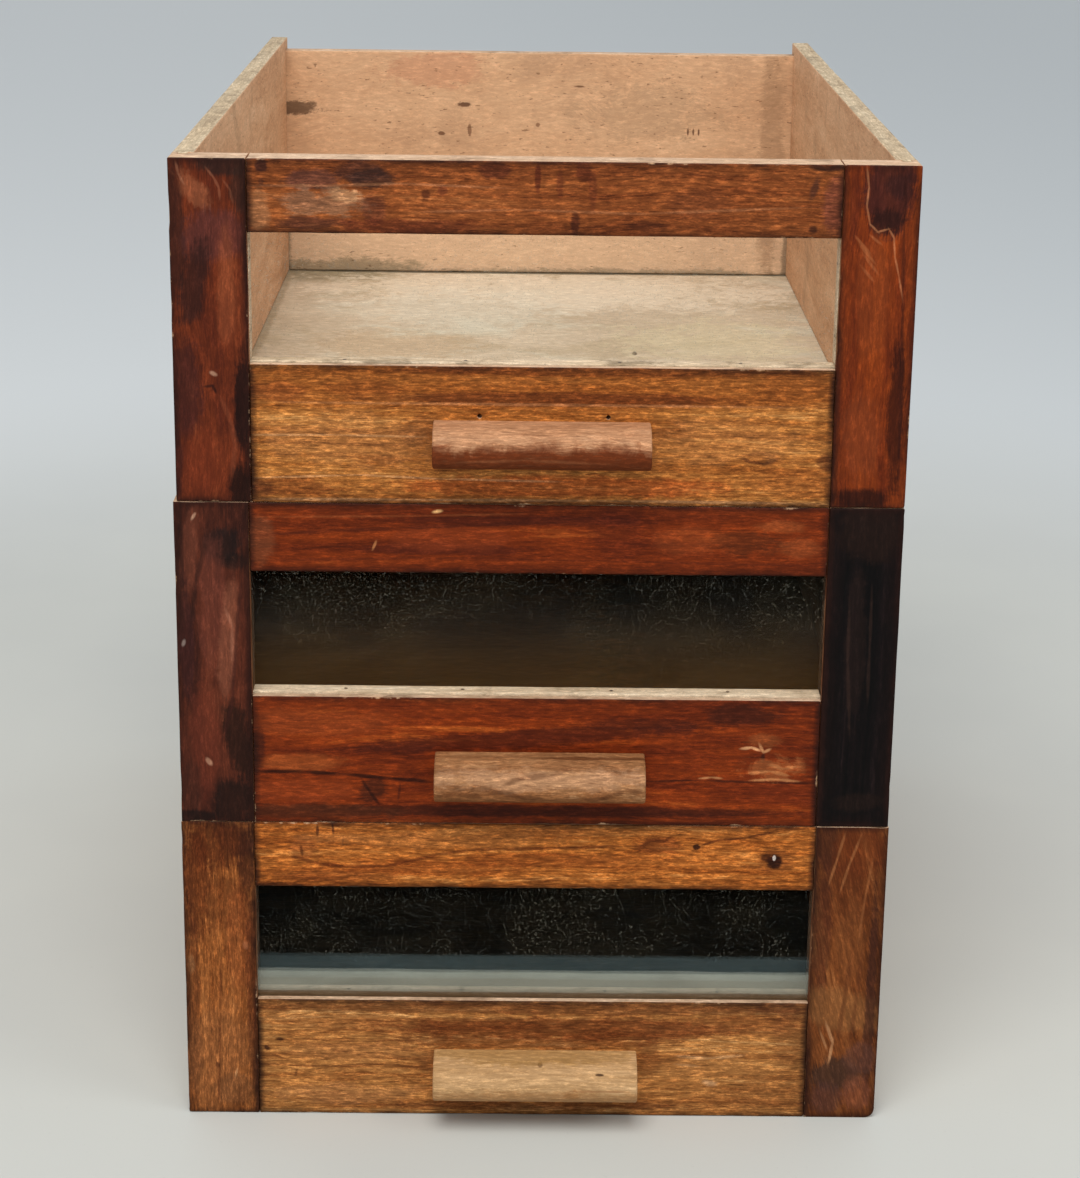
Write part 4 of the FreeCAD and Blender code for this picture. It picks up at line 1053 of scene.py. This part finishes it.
def glass_finish(name, seed, foot_bands=()):
    """Old clear glass with smears, specks of dust and bands along its foot. Each band has its top
    and its fade in millimetres, its alpha and its colour; some bands are a settled layer of dust,
    others are painted light that stands in for the lit floor behind the glass."""
    g = Graph(name)
    here = g.point()
    point = g.vector("ADD", here, (seed * 91.0, 0, seed * 57.0))
    clouds = g.noise(point, 0.022, 5, 0.6, 0.4)
    smears = g.noise(g.along(point, "x", 60, 16), 1, 4, 0.6, 0.8)
    grains = g.noise(point, 0.5, 4, 0.75)
    specks = g.noise(point, 0.8, 0, 0.5)
    dusty = g.step(clouds, 0.36, 0.66, 0.05, 1.0)
    dust = g.math("ADD", g.step(grains, 0.54, 0.74, 0.0, 0.055),
                  g.step(smears, 0.5, 0.72, 0.0, 0.008))
    dust = g.math("ADD", g.math("MULTIPLY", dust, dusty), g.math(
        "MULTIPLY", g.step(specks, 0.68, 0.78, 0.0, 0.17), g.step(clouds, 0.34, 0.56)))
    colour = g.mix(g.step(clouds, 0.4, 0.6), srgb(132, 138, 134), srgb(160, 154, 134))
    height = g.add("ShaderNodeSeparateXYZ", {0: here}).outputs["Z"]
    wavy = g.math("ADD", height, g.centred(g.noise(g.along(point, "x", 70, 9), 1, 3), 2.0))
    # Each band lays its dust or its painted light over the glass, in its alpha and its tint.
    for top, fade, alpha, tint in foot_bands:
        mask = g.step(wavy, top - fade, top, 1.0, 0.0)
        film_and_glow = g.step(smears, 0.3, 0.7, alpha * 0.8, alpha * 1.15)
        dust = g.add("ShaderNodeMix", {0: mask, 2: dust, 3: g.math("ADD", film_and_glow, g.math(
            "MULTIPLY", dust, 0.5))}).outputs[0]
        colour = g.mix(mask, colour, srgb(*tint))
    shader = g.add("ShaderNodeBsdfPrincipled", {
        "Base Color": colour, "Roughness": g.step(clouds, 0.35, 0.7, 0.06, 0.22),
        "Alpha": g.math("ADD", dust, 0.004), "IOR": 1.5, "Specular IOR Level": 0.5})
    return g.finish(shader.outputs[0])


# On the lower pane the top, teal band is painted light, a lit strip of the floor behind; the bands
# below it are settled dust.
FOOT_FILM_AND_GLOW = [(100.3, 1.2, 0.09, (118, 140, 142)), (90.4, 1.0, 0.29, (184, 190, 176)),
             (86.2, 1.2, 0.27, (158, 158, 142)), (77.9, 1.0, 0.34, (96, 72, 46))]
# On the middle pane a brown glow towards the foot is painted light, standing in for the lit floor
# behind.
FLOOR_GLOW = [(330, 62, 0.042, (170, 124, 70))]
GLASS = {"upper": glass_finish("window_glass_upper", 1),
         "middle": glass_finish("window_glass_middle", 2, FLOOR_GLOW),
         "lower": glass_finish("window_glass_lower", 3, FOOT_FILM_AND_GLOW)}


def steel_finish():
    """Dull iron with rust in patches."""
    g = Graph("dull_rusty_steel")
    point = g.point()
    rust = g.noise(point, 0.9, 4, 0.65)
    scratches = g.noise(g.along(point, "z", 6, 0.5), 1, 2, 0.5)
    colour = g.mix(g.step(rust, 0.42, 0.62), srgb(92, 86, 80), srgb(84, 50, 34))
    shader = g.add("ShaderNodeBsdfPrincipled", {
        "Base Color": colour, "Metallic": g.step(rust, 0.42, 0.6, 0.9, 0.1),
        "Roughness": g.step(scratches, 0.3, 0.7, 0.35, 0.6)})
    return g.finish(shader.outputs[0])


STEEL = steel_finish()


# Shapes

def cut_across(mesh, axis, places):
    """Adds a line of vertices round the mesh at each place along an axis."""
    normal = Vector([1.0 if i == axis else 0.0 for i in range(3)])
    for place in places:
        bmesh.ops.bisect_plane(mesh, geom=mesh.verts[:] + mesh.edges[:] + mesh.faces[:], dist=1e-7,
                               plane_co=normal * place, plane_no=normal)


def cut_places(low, high, spacing, near):
    """Places between two ends: close to each end, then evenly."""
    ends = [low + each for each in near] + [high - each for each in near]
    start, end = low + near[-1], high - near[-1]
    count = max(1, round((end - start) / spacing))
    return ends + [start + (end - start) * i / count for i in range(1, count)]


def arris_wear(place, seed):
    """How deep the arris is worn here, in metres: a light rounding and a few chips."""
    shifted = place * 1000 + Vector((seed * 31.7, seed * 12.3, seed * 7.9))
    gentle = 0.5 + 0.5 * noise.noise(shifted * 0.045)
    chip = max(0.0, noise.noise(shifted * 0.16) - 0.42)
    return (0.10 + 0.35 * gentle + 2.6 * chip) * MM


def nearest_faces(place, low, high):
    """Distances to the faces of a box with their inward normals, nearest first."""
    found = []
    for axis in range(3):
        for end, sign in ((low[axis], 1.0), (high[axis], -1.0)):
            distance = (place[axis] - end) * sign
            if distance < -1e-6:
                return []
            inward = Vector([sign if i == axis else 0.0 for i in range(3)])
            found.append((distance, inward))
    return sorted(found, key=lambda each: each[0])[:2]


def outer_arrises(mesh, low, high):
    """The long sharp edges of a solid that lie on a face of its box."""
    tolerance, shortest, flattest = 1e-5, 6 * MM, math.radians(60)
    arrises = []
    for edge in mesh.edges:
        if len(edge.link_faces) != 2 or edge.calc_length() < shortest:
            continue
        if edge.calc_face_angle_signed(0.0) < flattest:
            continue
        first, second = (vertex.co for vertex in edge.verts)
        if any(abs(first[axis] - end) < tolerance and abs(second[axis] - end) < tolerance
               for axis in range(3) for end in (low[axis], high[axis])):
            arrises.append(edge)
    return arrises


def fading(distance, reach):
    """1 at no distance, falling smoothly to nothing a few reaches away."""
    return math.exp(-(distance / reach) ** 2)


def wear_down(mesh, low, high, seed, reach, seam_faces):
    """Moves the arrises and faces in a little, and writes the layers wear, rim and seam."""
    rim_reach, seam_reach, deepest_hollow = 3.5 * MM, 2.2 * MM, 0.12 * MM
    wear_layer = mesh.verts.layers.float.new("wear")
    seam_layer = mesh.verts.layers.float.new("seam")
    rim_layer = mesh.verts.layers.float.new("rim")
    for vertex in mesh.verts:
        place = vertex.co.copy()
        faces = nearest_faces(place, low, high)
        if not faces:
            continue
        (first, inward_first), (second, inward_second) = faces
        if second < 3 * reach and first < reach:
            closeness = fading(second, reach)
            depth = arris_wear(place, seed)
            vertex.co += (inward_first + inward_second) * depth * closeness * 0.7
            vertex[wear_layer] = closeness * (0.75 + depth / MM * 0.4)
        vertex[rim_layer] = fading(second, rim_reach)
        if first < 1e-6 and second > 1.0 * MM:
            hollow = 0.5 + 0.5 * noise.noise(place * 22 + Vector((seed, seed, seed)))
            vertex.co += inward_first * hollow * deepest_hollow
        for axis, end in seam_faces:
            vertex[seam_layer] = max(vertex[seam_layer],
                                     fading(abs(place[axis] - end), seam_reach))


def worn_piece(node, body, low, high, spacing, seed, ease=0.7, reach=2.0, seam_faces=()):
    """A copy of a solid with its outer arrises eased, nicked and worn; it replaces the node."""
    mesh = bmesh.new()
    mesh.from_mesh(frame["nodes"][node].data)
    bmesh.ops.remove_doubles(mesh, verts=mesh.verts, dist=2e-6)
    bmesh.ops.dissolve_limit(mesh, angle_limit=math.radians(0.3), verts=mesh.verts,
                             edges=mesh.edges, use_dissolve_boundaries=False)
    bmesh.ops.bevel(mesh, geom=outer_arrises(mesh, low, high), offset=ease * MM, segments=2,
                    profile=0.5, affect="EDGES", clamp_overlap=True)
    near = (1.6 * MM, 4.0 * MM)
    for axis in range(3):
        if high[axis] - low[axis] > 2.5 * near[-1]:
            cut_across(mesh, axis, cut_places(low[axis], high[axis], spacing * MM, near))
    wear_down(mesh, low, high, seed, reach * MM, seam_faces)
    mesh.normal_update()
    return add_piece(mesh, node, body)


def add_piece(mesh, node, body):
    """Makes a piece from the mesh, smooth but for its sharp edges; it replaces the node."""
    data = bpy.data.meshes.new(node + "_worn")
    mesh.to_mesh(data)
    mesh.free()
    for polygon in data.polygons:
        polygon.use_smooth = True
    data.set_sharp_from_angle(angle=math.radians(40))
    piece = bpy.data.objects.new(node + "_worn", data)
    bpy.context.scene.collection.objects.link(piece)
    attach(piece, body)
    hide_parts(node)
    return piece


def paint(piece, finishes, choose):
    """Gives each face the finish whose number choose returns for the face's outward direction."""
    piece.data.materials.clear()
    for finish in finishes:
        piece.data.materials.append(finish)
    for polygon in piece.data.polygons:
        polygon.material_index = choose(polygon.normal)


def frame_side(normal):
    """0 on the stained front, 2 on the outer or inner edges, 1 on top, foot and back."""
    if normal.y < -0.3:
        return 0
    return 2 if abs(normal.x) > 0.7 else 1


def rim_side(normal):
    """1 on the top edge, 0 elsewhere."""
    return 1 if normal.z > 0.6 else 0


def rounded_section(count):
    """Points round the handle's section, as (out from the wall, up from the foot) in metres."""
    height, projection, radius = 22.0 * MM, 25.5 * MM, 15.0 * MM
    ease = height - radius
    points = [(0.0, height), ((projection - radius) * 0.5, height)]
    for i in range(count + 1):
        angle = math.pi / 2 * i / count
        points.append((projection - radius + radius * math.sin(angle),
                       ease + radius * math.cos(angle)))
    for i in range(1, count // 2 + 1):
        angle = math.pi / 2 * i / (count // 2)
        points.append((projection - ease + ease * math.cos(angle), ease - ease * math.sin(angle)))
    points += [((projection - ease) * 0.6, 0.0), ((projection - ease) * 0.3, 0.0), (0.0, 0.0)]
    return points


def handle_ring(mesh, section, centre, corner, place, inset, seed):
    """One ring of vertices round the handle, inset at the ends, with dents and small chips."""
    ring = []
    for out, up in section:
        away = Vector((out - centre[0], up - centre[1]))
        along = Vector((place * 26, out * 90, up * 90)) + Vector((seed * 3.1, 0, 0))
        dent = (0.5 + 0.5 * noise.noise(along)) * 0.35 * MM
        chip = max(0.0, noise.noise(along * 5.0) - 0.35) * 1.4 * MM
        shrink = inset + (dent + chip if out > 1.5 * MM else 0.0)
        moved = away - away.normalized() * shrink
        if out == 0.0:
            moved.x = away.x
        ring.append(mesh.verts.new((corner.x + place, corner.y - (centre[0] + moved.x),
                                    corner.z + centre[1] + moved.y)))
    return ring


def close_end(mesh, ring, turn):
    """A flat end inside a ring: a band of quads round a fan; turn is 1 or -1 for its sense."""
    count = len(ring)
    hub_place = sum((v.co for v in ring), Vector()) / count
    inner = [mesh.verts.new(v.co.lerp(hub_place, 0.4)) for v in ring]
    hub = mesh.verts.new(hub_place)
    for i in range(count):
        j = (i + 1) % count
        face = (ring[j], ring[i], inner[i], inner[j])
        cap = (inner[j], inner[i], hub)
        mesh.faces.new(face if turn == 1 else face[::-1])
        mesh.faces.new(cap if turn == 1 else cap[::-1])


def make_handle(drawer, seed):
    """The batten handle with eased ends, hand-worn curves and small dents."""
    node = f"{drawer}_drawer_handle"
    low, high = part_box(node)
    section = rounded_section(14)
    count, rows = len(section), 46
    centre = (sum(p[0] for p in section) / count, sum(p[1] for p in section) / count)
    ends = [0.0, 0.35 * MM, 1.1 * MM]
    length = high.x - low.x
    places = ends + [ends[-1] + (length - 2 * ends[-1]) * i / rows for i in range(1, rows)]
    places += [length - each for each in reversed(ends)]
    insets = ends[::-1] + [0.0] * (rows - 1) + ends
    corner = Vector((low.x, high.y, low.z))
    mesh = bmesh.new()
    rings = [handle_ring(mesh, section, centre, corner, place, inset, seed)
             for place, inset in zip(places, insets)]
    for first, second in zip(rings, rings[1:]):
        for i in range(count):
            j = (i + 1) % count
            mesh.faces.new((first[i], first[j], second[j], second[i]))
    close_end(mesh, rings[0], 1)
    close_end(mesh, rings[-1], -1)
    bmesh.ops.recalc_face_normals(mesh, faces=mesh.faces)
    return add_piece(mesh, node, f"{drawer}_drawer")


# The drawers, put together

def dress_frame(drawer, body, base):
    """Stiles and rails; the rails' tenons lie behind the stiles, so the rails wear between them."""
    inner = (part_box(body + "_left_stile")[1].x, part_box(body + "_right_stile")[0].x)
    for place, part in enumerate(("left_stile", "right_stile", "top_rail", "bottom_rail")):
        low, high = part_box(f"{body}_{part}")
        if part.endswith("rail"):
            low.x, high.x = inner
            seams = [(0, inner[0]), (0, inner[1])]
        else:
            seams = [(0, inner[0] if part == "left_stile" else inner[1])]
        piece = worn_piece(f"{body}_{part}", body, low, high, 7.0, base + place, seam_faces=seams)
        side = BARE["lapped" if part.endswith("stile") else "edge"]
        paint(piece, [STAINED[f"{drawer}_{part}"], BARE["edge"], side], frame_side)


def dress_box(drawer, body, base):
    """Sides, back and floor, worn behind the front frame only."""
    back_of_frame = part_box(body + "_left_stile")[1].y
    # The insides of the middle and lower drawers get dark copies of the wood, painted shade for
    # boxes lit only through their windows; the upper drawer's insides get the plain wood.
    bright = drawer == "upper"
    for place, part in enumerate(("left_side", "right_side", "back_panel", "floor_panel")):
        low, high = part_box(f"{body}_{part}")
        low.y = max(low.y, back_of_frame)
        piece = worn_piece(f"{body}_{part}", body, low, high, 14.0, base + 5 + place)
        if part == "floor_panel":
            paint(piece, [BARE[f"{drawer}_floor"], BARE[f"{drawer}_side"]],
                  lambda normal: 0 if normal.z > 0.3 else 1)
        elif part == "back_panel":
            paint(piece, [BARE["back"], BARE["edge"], BARE["back" if bright else "shaded_back"]],
                  lambda normal: 2 if normal.y < -0.6 else rim_side(normal))
        else:
            inward = 1 if part == "left_side" else -1
            paint(piece, [BARE[f"{drawer}_side"], BARE["rim"],
                          BARE["upper_side" if bright else "shaded_side"]],
                  lambda normal: 2 if normal.x * inward > 0.6 else rim_side(normal))


def dress_beads(drawer, body, base):
    for place, part in enumerate(("bottom_bead", "top_bead", "left_bead", "right_bead")):
        low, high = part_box(f"{body}_{part}")
        piece = worn_piece(f"{body}_{part}", body, low, high, 9.0, base + 10 + place,
                           ease=0.35, reach=1.0)
        # The top and side beads of the middle and lower windows get a dark copy, painted shade; the
        # middle window's bottom bead gets a paler copy, painted light.
        finish = "bead"
        if drawer != "upper" and part != "bottom_bead":
            finish = "shaded_bead"
        elif drawer == "middle":
            finish = "lit_bead"
        piece.data.materials.clear()
        piece.data.materials.append(BARE[finish])


def dress_handle(drawer, base):
    piece = make_handle(drawer, base + 15)
    piece.data.materials.append(HANDLES[drawer])


def finish_kept_nodes(drawer, body):
    """Panes and fasteners keep their CAD shapes and only get their materials."""
    for part, finish in (("glass_pane", GLASS[drawer]), ("bead_pins", STEEL), ("side_nails", STEEL),
                         ("floor_nails", STEEL), ("handle_screws", STEEL)):
        for slot in frame["nodes"][f"{body}_{part}"].material_slots:
            slot.material = finish


# Stage, light and camera

def make_stage():
    """A pale floor that runs far past the view; far off it turns paler, with painted shade
    darkening it towards the right.
    """
    floor_radius = 14.0
    mesh = bmesh.new()
    bmesh.ops.create_circle(mesh, cap_ends=True, segments=96, radius=floor_radius)
    data = bpy.data.meshes.new("pale_floor")
    mesh.to_mesh(data)
    mesh.free()
    floor = bpy.data.objects.new("pale_floor", data)
    bpy.context.scene.collection.objects.link(floor)
    g = Graph("pale_floor")
    point = g.point()
    clouds = g.noise(point, 0.0016, 4, 0.55)
    grit = g.noise(point, 0.4, 3, 0.6)
    colour = g.mix(g.step(clouds, 0.35, 0.65), srgb(188, 191, 188), srgb(194, 197, 193))
    reach = g.add("ShaderNodeVectorMath", {0: point}, operation="LENGTH").outputs[1]
    across = g.add("ShaderNodeSeparateXYZ", {0: point}).outputs["X"]
    # Painted shade: far off, the floor darkens from left to right.
    distant_shaded = g.mix(g.step(across, -1400, 1400), srgb(216, 221, 223), srgb(203, 209, 212))
    colour = g.mix(g.step(reach, 700, 1600), colour, distant_shaded)
    colour = g.mix(g.step(grit, 0.62, 0.75, 0.0, 0.12), colour, srgb(150, 150, 146))
    shader = g.add("ShaderNodeBsdfPrincipled", {"Base Color": colour, "Roughness": 0.7})
    data.materials.append(g.finish(shader.outputs[0]))


def make_light():
    world = bpy.data.worlds.new("soft_studio")
    world.use_nodes = True
    sky = world.node_tree.nodes["Background"]
    sky.inputs["Color"].default_value = (0.96, 0.98, 1.0, 1.0)
    sky.inputs["Strength"].default_value = 0.66
    bpy.context.scene.world = world
    for name, place, target, size, power in (
            ("overhead_front", (-0.3, -1.7, 3.0), (0.0, -0.1, 0.3), 2.0, 72),
            ("fill_right", (2.4, -1.4, 2.2), (0.0, 0.0, 0.2), 1.8, 16)):
        lamp = bpy.data.lights.new(name, "AREA")
        lamp.shape = "DISK"
        lamp.size = size
        lamp.energy = power
        lamp.color = (1.0, 0.965, 0.92)
        item = bpy.data.objects.new(name, lamp)
        item.location = place
        item.rotation_euler = (Vector(target) - Vector(place)).to_track_quat("-Z", "Y").to_euler()
        bpy.context.scene.collection.objects.link(item)


def make_camera():
    """The photograph's camera, fitted to the edges of the stack with less lens shift than the
    camera that the marks were read with, so that the other views hold the whole object."""
    focal, image_height = 2487.9, 1178.0
    axis_row, middle_row = 430.0, image_height / 2
    eye = Vector((-0.01116, -1.57176, 0.77824))
    turn = camera_turn(pitch=0.2692, yaw=0.0084, roll=0.0126)
    data = bpy.data.cameras.new("camera")
    data.sensor_fit = "VERTICAL"
    data.sensor_height = 36.0
    data.lens = focal / image_height * data.sensor_height
    data.shift_y = (axis_row - middle_row) / image_height
    camera = bpy.data.objects.new("camera", data)
    camera.matrix_world = Matrix.Translation(eye) @ turn.to_4x4()
    bpy.context.scene.collection.objects.link(camera)
    bpy.context.scene.camera = camera


for index, name in enumerate(DRAWERS):
    first_seed = index * 20
    dress_frame(name, name + "_drawer", first_seed)
    dress_box(name, name + "_drawer", first_seed)
    dress_beads(name, name + "_drawer", first_seed)
    dress_handle(name, first_seed)
    finish_kept_nodes(name, name + "_drawer")
make_stage()
make_light()
make_camera()
bpy.context.scene.view_settings.view_transform = "Standard"
